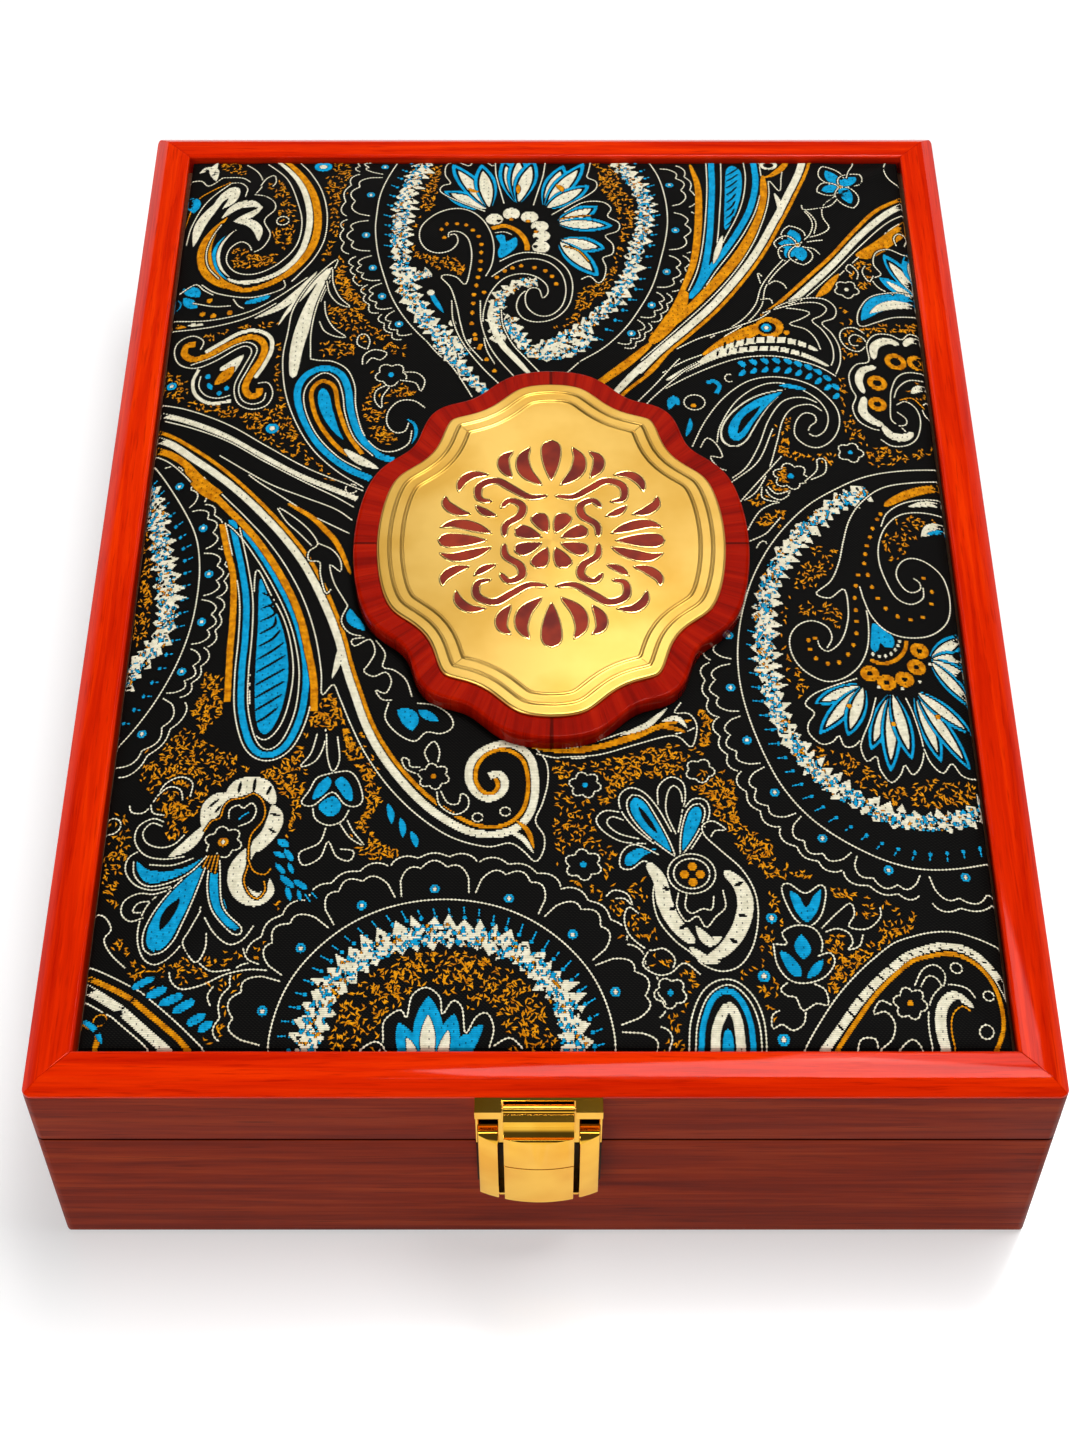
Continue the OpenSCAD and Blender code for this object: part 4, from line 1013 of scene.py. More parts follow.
trace(
    "-37,-145 -34.6,-142 -34.4,-137 -31,-134.4 -29.6,-136.2 -28.6,-131.4 -25.6,-129.4 -22.6,-131.6 "
    "-22,-135.4 -19.8,-132.4 -17.8,-134 -17,-139.6 -14.8,-136 -12.4,-135.2 -11,-138.6 -12,-143",
    "-40,-143.4 -36,-141.4 -33.4,-143.6", "-11.4,-142.6 -7.6,-140.6 -4.6,-143")

# Spray of the lower left
blob("ivory", "-77.6,-86 -77.4,-82 -74.8,-79.2 -71.6,-79.4 -71.8,-82.6 -74.4,-86.4 -76.6,-89")
leaf("ivory", 3.0, "-76,-87.4 -79.4,-92.4 -84,-95.8")
blob("ivory",
    "-72.2,-78.6 -70.4,-75.8 -66.4,-74.6 -62.4,-76.2 -60.6,-80.4 -61.4,-82.6 -65.4,-79.4 -68.8,-80.2 "
    "-71.4,-81")
blob("ivory", "-61.6,-82.6 -59.2,-84.4 -58.8,-88 -60.6,-92 -63.8,-95.4 -65.4,-93 -63.4,-89.6 -62.4,-86")
leaf("ivory", 4.6, "-62.6,-92 -66.2,-96 -68,-101 -66.8,-105.8 -63.6,-108 -60.6,-106 -60.8,-102.4")
leaf("ground", 2.2, "-64.6,-98 -65,-103 -63.8,-106")
for path in (
    "-76,-83 -73.6,-80.6", "-74.4,-84.6 -73,-82.4", "-69.4,-79.4 -69,-76", "-66,-79 -65.8,-75",
    "-63,-80 -62,-77", "-61.8,-85 -59.4,-85.6", "-62,-89 -60,-90.4",
):
    leaf("ground", 0.6, path, "band")
trace(
    "-76.4,-89.4 -74.8,-86.6 -73,-86 -72.4,-83 -71,-81.2 -68,-80.6 -66,-79.4 -64,-81 -63,-84 -63.4,-87 "
    "-65.6,-90.6 -66,-94 -65.8,-99 -66.4,-103 -65,-106.6 -63,-107.8 -61.6,-105.6 -62,-103",
    "-66,-97 -64.4,-100.6 -61.8,-101.4 -60.6,-99.6", yarn="gold")
trace("-71,-86.4 -71,-83.8 -69,-82.6 -68,-83.6 -66.2,-82 -65,-84 -66,-87 -69,-88.6")
trace("-69,-87 -68,-85.6 -66.6,-84.6", yarn="blue")
flower(-71.8, -92.6, 4.3, 6, 0.2, "gold")
dots("gold", 1.3, "-71.8,-92.6")
dots("ivory", 0.55, "-71.8,-92.6")
leaf("blue", 6.4, "-85,-120.4 -83,-113 -79.4,-105 -75,-97", "drop")
leaf("ground", 2.4, "-84,-115 -82.4,-110.6 -80.4,-107")
leaf("blue", 3.2, "-66.6,-115.6 -70.4,-112 -72.8,-105 -73.4,-97.6", "band")
blob("blue", "-91,-96.2 -90.4,-99.4 -88,-102.2 -84,-102 -79.4,-100 -76,-96.6 -80,-98.8 -84,-99.4 -88,-98.8")
rim("ivory", "drop", 7.6, "-85.4,-121.2 -83,-113 -79.4,-105 -75,-97")
trace("-74.4,-97 -74.4,-105 -72.4,-111.6 -67.8,-116.8 -66,-115.4 -70.6,-109.6 -72.2,-97.6")
trace("-91.8,-95.6 -91.2,-99.8 -88.2,-103 -83.6,-102.8 -78.6,-100.2 -74.8,-95.6")
for k in range(4):
    thread("gold", 0.35, [(-74.6 + 0.7 * k, -95.6), (-76 + 1.0 * k, -99.6 - 0.5 * k)])
trace(
    "-90.4,-93.2 -93,-95 -93.4,-98.4 -91,-102.2 -87,-104.2 -82.4,-103.6",
    "-82.4,-104 -86.6,-107 -88.6,-111.5 -88.8,-117 -87,-122 -84,-123.8 -80.6,-121.6 -78,-117 -75.4,-109.4",
    "-74.6,-112 -72,-116.6 -68.6,-119.2 -65.6,-118 -63.4,-114.6",
    "-80.8,-90 -83,-92.4 -86,-93 -89.2,-91.4 -90.4,-88.4 -88.6,-86 -86,-87.2",
    "-85.4,-86.2 -88.4,-84.8 -91.6,-86.6 -92,-90.6 -89.4,-94.6 -85,-96.2 -80,-95.8",
    "-88,-97.4 -83,-98 -78,-96.4",
    "-83,-104.6 -86.4,-105.4 -89.8,-104.8 -92.8,-106.4 -93.2,-109.6 -91,-112 -88,-111.4",
    "-86.6,-107.2 -89.6,-107.4 -90.6,-109.6 -88.4,-110",
    "-75.2,-110 -77.4,-115.4 -78.6,-119 -75.6,-123.6 -73.6,-120.4 -73.6,-116.4",
    "-81,-125.4 -80.4,-128 -78,-129.8 -73.6,-128.8 -69,-126.4 -64,-125.2 -59.6,-125.4",
    "-75,-123.4 -72,-125.6 -67.6,-125.2", "-65.6,-119.6 -64.4,-122.6 -61.6,-124",
    "-71.4,-134 -72.4,-131.4 -71,-128.8",
    "-94.4,-80 -93.6,-82.4 -90.6,-82.8 -88.4,-79.4 -86.4,-75.4 -83,-73.8 -80.2,-75.6 -80.4,-79.6",
    "-89.4,-80.4 -88.6,-83.2 -85.6,-84.2", "-88.4,-79 -85.6,-76.4 -82.8,-77.4 -82,-80.6")
stipple("-88,-83 -84,-78 -82,-81 -80,-90 -84,-92 -86,-88", 0.8)
stipple("-100,-80 -94,-84 -93,-92 -95,-104 -92,-114 -90,-122 -94,-120 -96,-108 -100,-98", 0.55)
stipple(
    "-90,-121 -84,-125 -78,-122 -70,-121 -62,-119 -58,-112 -62,-104 -58,-108 -58,-110 -63,-126 -66,-131 "
    "-70,-144 -74,-142 -70,-138 -70,-128 -80,-132 -90,-127", 0.6)
stipple("-66,-76 -56,-66 -54,-84 -57,-91 -57,-82", 0.7)
ring("ivory", 0.6, -98, -85.6, 2.2)
trace("-100,-109 -97,-110 -95,-113.6 -96.4,-116 -94.4,-120 -90.4,-124.4")

# Bud, sprig and corner band
blob("blue", "-52.6,-81 -51.8,-77.4 -49.6,-74.8 -48.4,-76.4 -50,-79.6")
blob("blue", "-43.4,-81.2 -44,-77.4 -46,-74.8 -47.8,-76.2 -46.4,-79 -45,-81")
blob("blue", "-51.2,-83.2 -49.4,-80.8 -47.4,-80.4 -46,-82.2 -46.4,-84.6 -48.6,-85.8")
trace(
    "-48.4,-73.6 -51.8,-75 -53.4,-78.6 -55,-82 -52.4,-82.8 -49,-79.4 -47.4,-79.4 -45.2,-82.4 -42.6,-83 "
    "-41.2,-81 -42.4,-76 -44.6,-73.2 -48.4,-73.6",
    "-52.4,-83 -51.6,-86.4 -48.6,-88.2 -45.6,-87 -44,-83.6",
    "-52.4,-62 -53.6,-68 -55.8,-71.8 -52.6,-70.4 -50.8,-66 -50.6,-61",
    "-50.4,-62 -49.8,-69 -48.4,-73.2 -47,-70 -47.8,-63",
    "-49,-88.4 -50.4,-93 -54.6,-95.6 -53.6,-99 -50,-97 -48.4,-92.6 -46.4,-96.6 -43.4,-97.8 -42.6,-95.2 "
    "-46,-94.6",
    "-46,-87.8 -43.6,-91.6 -40.4,-93.6 -43,-89.8 -44.6,-86.4")
for width, path in (
    (2.0, "-59.8,-92 -57,-94"),
    (1.4, "-60.6,-95.4 -57.6,-96.8"),
    (1.5, "-58,-94.6 -55.8,-98"),
    (1.3, "-59.8,-98.4 -57.4,-101.4"),
    (1.2, "-57,-98.2 -55.6,-101.4"),
    (1.6, "-58.6,-101.8 -55.2,-104.8"),
    (1.5, "-55.6,-102.8 -52.2,-105.4"),
    (1.3, "-57,-104.6 -55.8,-108.4"),
    (1.1, "-54.4,-105.4 -53.6,-108.4"),
):
    leaf("blue", width, path, "band")
trace("-53,-106.2 -51.4,-108.8", "-51.6,-105.8 -50,-107.8", yarn="blue")
trace("-101,-121.8 -95,-125 -88,-129.6 -80,-136 -71,-144.5")
thread("ivory", 2.2, "-102,-126 -95,-131 -88,-136.8 -79,-144.5")
thread("gold", 1.3, "-99,-125.4 -92,-129.6 -85,-135 -79,-140 -75,-144")
trace("-101,-130 -94,-135 -86,-141.4 -83,-144.5")
for path in (
    "-89,-129.4 -83.6,-127", "-85.6,-131.8 -81,-129.4", "-82.8,-133.4 -77.4,-131",
    "-79.8,-135.2 -74.8,-132.2", "-76.6,-137.8 -72.4,-135.4", "-74,-139.2 -70.8,-137",
):
    leaf("blue", 2.0, path, "band")
leaf("gold", 1.6, "-101,-138 -97.4,-137.6 -95,-140.4 -96,-144", "band")
ring("gold", 0.8, -95, -136.6, 1.5)
leaf("blue", 1.4, "-99,-136 -96,-138.6 -94,-142", "band")

# Ring that comes in from the right edge, with its flower
RIGHT = (
    "101,25 90,22.3 80,18.8 72,14 65,8.5 59,1.5 54,-6.5 50,-15.5 47.3,-25 45.7,-35 45.4,-45 46.6,-55 "
    "49.5,-66.5 53.5,-77 59,-85.5 66,-92 74,-96.8 83,-99 92,-98 101,-95")
trace(RIGHT)
scallops("47.2,-25.5 46,-33 45.4,-41", 1, -1, 1.4, 5.4, 1.9)
scallops(
    "45.4,-41 45.6,-48 46.9,-56.4 49.5,-66.5 53.5,-77 59,-85.5 66,-92 74,-96.8 "
    "84,-99", 5, -1, 1.4, 6.0, 2.0)
scallops("84,-99 92,-98 101,-95", 1, -1, 1.4, 8.0, 2.2)
ticks(drawn(RIGHT)[5:], -1, -2.0, 4.4, 2.2)
speckle(
    "80,14.5 72,9 65,2 59.5,-5.5 55.5,-13.5 53,-22 52,-31 51.8,-40 52.6,-50 54.5,-59 58.5,-68 64.5,-76.5 "
    "72,-82.5 80,-86 89,-86 96,-83.5 101,-80", 6.2)
trace(
    "101,21 92,18.6 84,15.4 78.4,10 75,4 73,-3 71.4,-10 69,-16 65.2,-20 68.4,-21.4 72,-18.6 72.6,-25 "
    "71.6,-31 69.6,-35.6 66.8,-38 65,-36.6 64.6,-34.8",
    "66.4,-37.4 68,-34 67.2,-30.6 63.8,-28.6 60.2,-30 58,-34 58.4,-39.4 61,-44 65.6,-47 70,-46 74,-42 "
    "76.4,-36 77.1,-28 76.4,-21 75.8,-17",
    "76.4,-21 78,-26.6 81.2,-31 86,-32.6 92,-31 96.6,-26 98,-19 97,-12 93.6,-8 89.6,-7 86.6,-9 85.2,-13 "
    "86.6,-17 88.6,-18.2 90.8,-16.8 90.8,-14.6 89.2,-13.4",
    "101,8.4 94,8.8 88,7 84,2.6 81.8,-3 81.3,-9 82.4,-15 84.6,-20.4 88,-22 91.2,-19.6 91.6,-16",
    "82.6,2 84.6,7 89,11 95,13.4 101,14")
leaf("gold", 2.6, "84,9.4 90,14 96,17.2 102,19", "band")
leaf("ivory", 3.4, "92.6,0.6 96,4 101,4.6")
leaf("blue", 1.4, "94,1.6 97,3 100,3")
leaf("ivory", 1.8, "90,10 95,12 101,12.4")
stipple("84,5 90,8 98,7 92,1 88,-6 84,-10 82.6,-4", 0.6)
stipple("65,-20 70,-12 71,-6 66,-4 62,-12 58,-24 57,-36 60,-45 62,-50 59,-52 56,-44 55.4,-30 59,-18", 0.55)
stipple("60,-24 66,-22 71,-24 70,-33 67,-28 62,-27", 0.7)
dots("gold", 0.62,
    "83,6.6 82,4.7 80.6,1.6 79.7,-1.3 78.7,-4.2 78.1,-6.9 77.6,-10 75.8,-13.8 78.2,-13.7 78.9,-17.5 80,-21 "
    "81.7,-24 84.4,-26.3 87.5,-26.9 90.6,-25.6 93.2,-21 93.7,-17 92,-13 75,-17.3 74.4,-21.2 74.4,-25 "
    "74.3,-28.5 74,-32.2 73,-35.8 71.5,-38.8 69.2,-41.3 66.5,-41.7 63.8,-40.2 62.6,-37.4 62.4,-34.6 64,-34")
fans((5.0, 3.4, 2.6), (1, 0.92, 0.86),
    "74.5,-48 62.6,-53.6 63,-62.6 69.6,-63.2", "81,-49.5 74.6,-67 78.7,-73 84,-69",
    "86.6,-48.6 90.9,-69 97.8,-70 99.4,-59.4", "91,-38.6 101,-29 102,-36 102,-43 101,-52")
dots("gold", 0.7, "70.6,-54.2 80.6,-59 91.4,-55.6")
trace(
    "73,-46 66,-49 62.4,-51 60.4,-53.8 62.4,-56.4 60.8,-59.4 60.8,-62.4 63.4,-65.4 66,-64.8 67.6,-63 "
    "68.6,-66 70.8,-66 73,-63.4",
    "77.2,-51 75.2,-58 73,-63.6 72.4,-66.8 73.6,-70.2 75.8,-68.6 76.4,-72.4 78.6,-75.8 81,-73.4 82.2,-70.6 "
    "83.8,-73.2 86,-70.4 87,-65 85.6,-56 84,-50.6",
    "87,-65 88.4,-69.4 91,-71.9 93.4,-68.8 95.4,-71.8 98.4,-72.4 101,-70")
for x, y in ((76.2, -44.4), (80, -46.8), (84.4, -45.4), (87.6, -41.4), (88.8, -36.2)):
    ring("gold", 1.7, x, y, 1.5)
thread("gold", 1.1, "76.6,-40.2 79.6,-41.2 83,-39.6 85.2,-36.6 85.9,-33.6")
dots("ivory", 0.5,
    "77.4,-38.4 78.9,-39 80.4,-38.8 81.8,-38 82.9,-36.7 83.7,-35.3 84.2,-33.9 78,-48.4 83.6,-48.4 88,-45.6 "
    "91,-40")
blob("blue", "78.2,-28.8 77.3,-33 77.1,-37 78.6,-37.5 79.6,-34.8 80.4,-36.2 82.6,-35.8 82.8,-32.8 80.8,-31")
stipple("60,-66 68,-67 74,-72 80,-77 88,-74 99,-74 98,-79 88,-82 78,-82 68,-75 62,-70", 0.6)

# Pale leaf with its medallion of four petals
leaf("blue", 4.2, "20,-80.6 22.4,-86.4 28.4,-96", "drop")
leaf("ground", 1.2, "21,-83 22.8,-86.6 25,-90.4")
leaf("blue", 3.2, "34.4,-83 32.8,-88 30.2,-95.8", "drop")
blob("blue", "17.6,-98.8 18,-96.2 21,-94.4 24.8,-94.6 22,-96.4 19.6,-98.8")
rim("ivory", "drop", 5.2, "19.6,-79.8 22.4,-86.4 28.8,-96.6")
rim("ivory", "drop", 4.2, "34.8,-82.2 32.8,-88 30,-96.6")
trace(
    "28.4,-90.4 25.4,-83.6 22.4,-79.2 19.2,-77.8 16.8,-80 17,-84 20,-89 24.4,-93.4",
    "29.2,-90.6 27.2,-84.6 27.6,-79.4 29,-77.2 30.6,-79 30.8,-84 29.6,-90.6",
    "25.4,-82.6 25.6,-77.6 28.4,-74.8 31.2,-76.4 31.6,-80.6 30.6,-85",
    "31.2,-83.6 33.4,-80.9 36.2,-81.4 36.9,-85 35,-90 32.2,-95",
    "22.4,-93.2 17,-92.6 13,-89.8 11.4,-86.6 13.4,-84.2 17,-84.6",
    "21.4,-92 16.4,-90.4 13.8,-87.6 15,-85.8 18,-87",
    "25.6,-96.4 20,-93.4 17,-95.6 16.6,-99.4 19,-100 22,-97.8 24.4,-101 23.6,-107 24.6,-113 28,-118 "
    "31.4,-121 34,-124 38,-125.6 42,-124.2 45,-119.4 46.4,-112.6 46,-106 43.4,-100 39,-95 35.6,-91 "
    "35.2,-88.2 37.6,-87 40.4,-89.4 38,-89.6 36.8,-91.6")
leaf("ivory", 3.6, "22.6,-98.2 25.2,-103 26.2,-109 28.6,-114.4 32.4,-119", "band")
leaf("ivory", 3.8, "39.4,-100.4 42.6,-104 43.8,-109 42.4,-115 39,-120 35,-122.8", "band")
leaf("ivory", 2.2, "31,-119.4 34.4,-122.6 38,-123.4")
leaf("ivory", 2.4, "32.6,-114.6 35.6,-118.4 38.6,-117")
for path in (
    "25.6,-105 27.6,-105.4", "27,-110.6 29,-110", "29,-115.6 31,-114", "41.4,-104.6 43.6,-103.4",
    "42,-112 44,-112.4", "40,-117.6 41.8,-119",
):
    leaf("ground", 0.9, path, "band")
ring("ivory", 0.55, 32.3, -101.2, 5.3)
ring("ivory", 0.5, 32.3, -101.2, 4.0)
dots("gold", 1.1, "32.5,-99.3 30.7,-101.4 34.2,-101.4 32.5,-103.4")
trace("29.2,-106.4 28.8,-110 30.8,-113.6 33.2,-112.2 35,-115 37.2,-112.4 39.4,-110 39,-105.6")
trace("31,-106.8 30.6,-110 32,-111.6 34.4,-110.4 36.4,-110.6 37,-106.6")
flower(9, -77, 3.7, 6, 0.3)
flower(8.4, -98.8, 4.2, 6, 0.1)
flower(35.2, -73, 3.4, 5, 0.5, "ground")
flower(26.8, -130.6, 3.6, 5, 0.2)
leaf("gold", 1.3, "-5,-65.4 0,-67 8,-67.4 15,-65 22,-62 28,-59.4 34,-58.6", "band")
trace("-2,-68.2 3,-69.4 10,-69.2 18,-66.6 26,-63.4 32,-62 34.6,-60.6", "-1,-66 6,-66.4 13,-64 20,-61")
stipple(
    "1.6,-70 10,-70.6 20,-67.6 30,-64.4 37,-64 38,-68 32,-70 29,-76 25,-74 20,-76 14,-82 10.6,-86 11.6,-91 "
    "16,-95 14,-103 17,-106 22,-101 22.4,-110 25,-117 22,-120 18,-116 15,-109 12,-108.4 6,-104 3,-101 "
    "1.4,-92 2.4,-80", 0.6, [circle(9, -77, 4.4), circle(8.4, -98.8, 4.8)])
stipple(
    "32,-77 37,-78 40,-72 43,-76 43,-86 45,-89 50,-92 52,-98 60,-102 50,-103 45,-98 41,-91 38.4,-85", 0.85)
stipple(
    "48,-105 51,-108 52,-116 49,-122 50,-130 49,-140 47,-132 45,-128 40,-127 46,-121 "
    "48,-112", 0.6, [circle(49.3, -112.8, 2), circle(47, -126.8, 2)])
stipple(
    "61,-117 64.6,-117 64.4,-122.4 68,-120.6 75,-115.6 81,-114 76,-118 69,-123.6 64,-130 60.6,-132", 1.4)
stipple(
    "14,-110 18,-110 18,-116 22,-121 30,-122 34,-127 31,-132 29,-140 30,-144 25,-144 25,-136 31,-131 "
    "28,-127 21,-123 16,-117", 0.6)
stipple("60,-103 70,-107 82,-110.4 80,-114 72,-117 66,-110", 0.5)
trace("13,-107.6 15,-105.6 18,-106.6 19,-109.6 17.4,-107.8 15,-107.8")
trace("20.4,-111.6 18.2,-110 17.2,-113 18.4,-117 22.4,-120.4 25.6,-120 28,-122.6 27,-126")
trace("22.4,-120.4 21,-124 24,-126.4 27,-126 30,-123.6 33.4,-126.4")
eye(49.3, -112.8, 1.3)
eye(47, -126.8, 1.5)
eye(50.6, -141, 1.4)

# Tulip, bud and arch along the bottom
blob("blue", "53.6,-106 55.6,-107 57,-110 58.8,-107 60.6,-105.6 59.6,-110.6 57,-113.8 54.6,-111")
trace(
    "52,-104.6 53.6,-103.8 57,-106.4 60.4,-104.2 61.6,-106 60.2,-112 57.4,-114.8 54.4,-113 52.4,-108",
    closed=True)
blob("blue", "55.6,-116.8 53.8,-119.6 55.6,-122.6 57.6,-120.4")
blob("blue", "50.6,-121 52.6,-121.4 55,-124.6 54.8,-127 52.4,-125.8")
blob("blue", "60,-122.8 57.6,-124.2 56.2,-127.2 59,-126")
trace(
    "49.4,-119 50,-124 52.4,-127.6 56,-128.4 60,-127 62.4,-123.6 61.6,-121.2 58.6,-122",
    "49.4,-119 52.4,-119 51.4,-116.4 54.6,-114.6 58.4,-115.4 60,-118.4 59.6,-121.4",
    "52.4,-128 50.4,-129.8 52,-131.4 53.6,-131.6 55,-134.6 58,-133 60.4,-133.4 60,-130 57.4,-128.4",
    "50,-134.6 48.4,-135.6 48.4,-138.6 50.4,-137.6 52.6,-139 55,-137.6 55.6,-134.8",
    "60,-115.4 64,-111.2 66.8,-109 67.4,-112 66,-115 70,-115.6 73,-112.6 73.2,-109.4",
    "60.4,-116.4 63.4,-115.4 66,-116.6 66.6,-119 65.4,-120.4 68,-119.6 69,-116.6",
    "30.4,-144.5 31,-137 33.4,-130.8 37,-127.8 41,-128 44.6,-131.6 46.6,-137 47,-144.5",
    "31.8,-144.5 32.4,-137.6 34.6,-131.8 38,-129 41,-129.4 44,-133 45.6,-138 46,-144.5")
thread("blue", 1.4, "33,-144.5 33.6,-138 35.6,-132.4 38.6,-130.2 41.4,-131.8 43.6,-137 44.2,-144.5")
thread("ivory", 2.2, "36,-144.5 36.4,-139 38,-135 39.4,-133.8 41,-137 41.6,-144.5")
leaf("blue", 2.6, "38.8,-138.6 38.8,-142 38.8,-148", "band")

# Curl in the lower right corner
thread("ivory", 2.0,
    "57,-146 62,-139.6 68,-131.6 75,-124.6 82,-120.2 88,-118.8 93,-120.2 97,-124.6 100,-131")
thread("gold", 1.1,
    "60,-146 65,-138.8 71,-130.8 78,-124.2 84,-121.4 89,-120.8 93.4,-122.8 96.4,-127 97.8,-133 97.4,-139 "
    "94.8,-145")
trace("53.4,-146 58,-138 64,-129.6 72,-121.6 80,-116.8 88,-115 94,-116 100,-118.4")
for k in range(16):
    x, y = (63 + 2.3 * k, (-138.4, -135.2, -132, -129.3, -126.8, -124.6, -122.8, -121.4, -120.4, -119.8,
        -119.2, -119, -119, -119.8, -121.2, -123)[k])
    leaf("ground", 0.45, [(x - 0.9, y + 0.9 - 0.1 * k), (x + 0.6, y - 0.9)], "band")
leaf("ivory", 2.6, "86,-147 84.2,-139 85,-133.4 88,-131.4 91.6,-134", "band")
trace("87.6,-146 86.4,-139.4 87,-135.4 89,-133.8 90.8,-135", yarn="gold")
trace("82.6,-146 81.6,-138 82.6,-132 86,-128.8 90.4,-129 92.4,-131.6")
flower(78, -133, 3.7, 6, 0.3, "gold")
trace("79,-129.4 81,-125.6 84,-123.8 86,-126 85.2,-129.4 84,-127.4 82,-127 80.4,-129.4")
trace("74.4,-133.6 71.6,-132.4 70,-135.4 72.6,-134.8 74.4,-137.4 73.6,-141 70.6,-143.4")
trace("66,-144.4 67,-141 70,-140.8 70.6,-143", "74.6,-143.6 78,-141 80.6,-143.8")
for x, y, r in ((88.7, -124.2, 1.3), (95.2, -130.4, 1.2), (93.8, -139.4, 1.5)):
    ring("ivory", 0.5, x, y, r)

# Great flower at the top, in its ring
TOP_LEFT = (
    "-41,144.5 -43.6,135 -45.6,125 -46.2,115 -46,108 -45,100 -43.2,92 -40.6,83 -36.6,74.6 -31,66.6 "
    "-24,59.6")
TOP_RIGHT = (
    "28.8,144.5 31.4,136 33,126 33.6,117 33,108 31.2,98 28.8,88 25.6,80 21.2,71.6 15.6,64.4 9,59")
trace(TOP_LEFT, TOP_RIGHT)
scallops("-41.2,144 -42.4,139.6 -43.4,135.6", 1, -1, 1.6, 7.0, 2.2)
scallops("-43.6,135 -45.6,125 -46.2,115.6", 1, -1, 1.6, 6.6, 2.2)
scallops("-46.2,115 -46,108 -45.2,101", 1, -1, 1.6, 6.2, 2.2)
scallops("-45,100.4 -43.2,92 -42.6,90", 1, -1, 1.4, 5.4, 2.0)
scallops("-42.4,89.4 -40.6,83 -39,79.4", 1, -1, 1.4, 4.6, 1.8)
scallops("-38.8,79 -36.6,74.6 -33.4,69.8", 1, -1, 1.4, 4.0, 1.6)
scallops("30.2,140 33,126 33.4,120", 1, 1, 1.4, 5.2, 2.2)
scallops("33.6,119 33,108 32,101.4", 1, 1, 1.4, 5.2, 2.2)
scallops("31.8,100.6 30.4,94 28.4,87", 1, 1, 1.4, 4.8, 2.0)
scallops("28.2,86.4 25.6,80 23.6,76", 1, 1, 1.4, 4.0, 1.8)
scallops("23.4,75.6 21.2,71.6 17.4,66.6", 1, 1, 1.4, 3.6, 1.6)
ticks(TOP_LEFT, -1, -2.0, 4.6, 1.8)
ticks(TOP_RIGHT, 1, -2.0, 4.6, 1.8)
speckle(
    "-33.6,144 -36,136 -38,128 -39,120 -39.6,112 -39.4,104 -38.6,96 -37.4,89.6 -35.2,82 -31.6,74.6 "
    "-26.6,68 -20,62", 6.4)
speckle("-38,94 -34,91.4 -30.6,93", 4.4)
speckle(
    "20.4,144 22.6,137 25,131 27,124 27.4,117 26.6,111 25.2,105 24,99 22.6,92 20.2,86 16.4,79.4 11.6,73.6 "
    "5.6,68 -1,64", 5.6)
fans((6.4, 4.4, 3.6), (1, 0.9, 0.84),
    "-15.2,119.4 -28,127.6 -26,142 -17.8,142", "-7.4,121.6 -11.6,144.6 -7.4,148 -3.2,144.6",
    "0,119.6 5.2,141.6 11,142.6 12.4,130.4", "3.2,113.4 14.6,120.8 18.6,112.2",
    "3.6,105.6 16.4,102.4 14.4,91.4")
leaf("gold", 1.5, "-21.4,129 -19.6,127.4 -18,127.4")
leaf("gold", 1.5, "-7.4,131 -7.4,126")
leaf("gold", 1.8, "3,131 4.4,129 5,127")
trace("4,115.4 8,116.4 13,117", "5,103.4 9,101.6 12,97", yarn="gold")
trace(
    "-16,118.4 -21,121.2 -26,124.4 -29,127.6 -28.2,130.4 -26.2,131.4 -27.8,136 -27.6,141.4 -25,143.4 "
    "-21.4,141 -20,143.4 -17,143.6 -14.6,141 -14,144",
    "-14,144 -13.6,136 -12.4,128 -11.2,121.6", "0.2,144 -0.6,135 -2,127 -3.2,121",
    "13,144 12.2,138 11.8,134.6 14.2,132.4 14.2,128.8 11.6,125.4 7,121.6 1.6,117",
    "5,118 10.6,122.4 15.8,122.6 18.2,119.8 17.2,116.6 20.2,113.6 19.8,109.8 16.4,107.6 18.4,104 "
    "18.2,100.2 15.6,98.6 16.4,95 15.8,90.6 14.2,88.8 12,91.4 9.4,90")
dots("ivory", 2.5, "-13.8,115.2 -9.2,117.6 -4.2,116.2 -1.4,112 -0.9,107.6 -1.1,103")
dots("ground", 0.6, "-12.6,114.6 -8.8,115.4 -5.2,113.4 -2.8,110.6 -2.4,106.4 -2.6,103.2")
dots("gold", 0.7, "-9.2,115.2 -4.6,114.4 -2.4,109.6")
thread("gold", 1.6, "-14.6,111 -11,112.2 -8,110.4 -6,107.4 -4.9,104 -4.8,101.6")
trace("-13.6,109 -11,109.4 -8.8,108")
blob("blue", "-13.4,107.6 -11,108 -10.4,105.2 -8,107 -7.4,104 -9,101 -12,98.6 -12.8,101 -12.2,104")
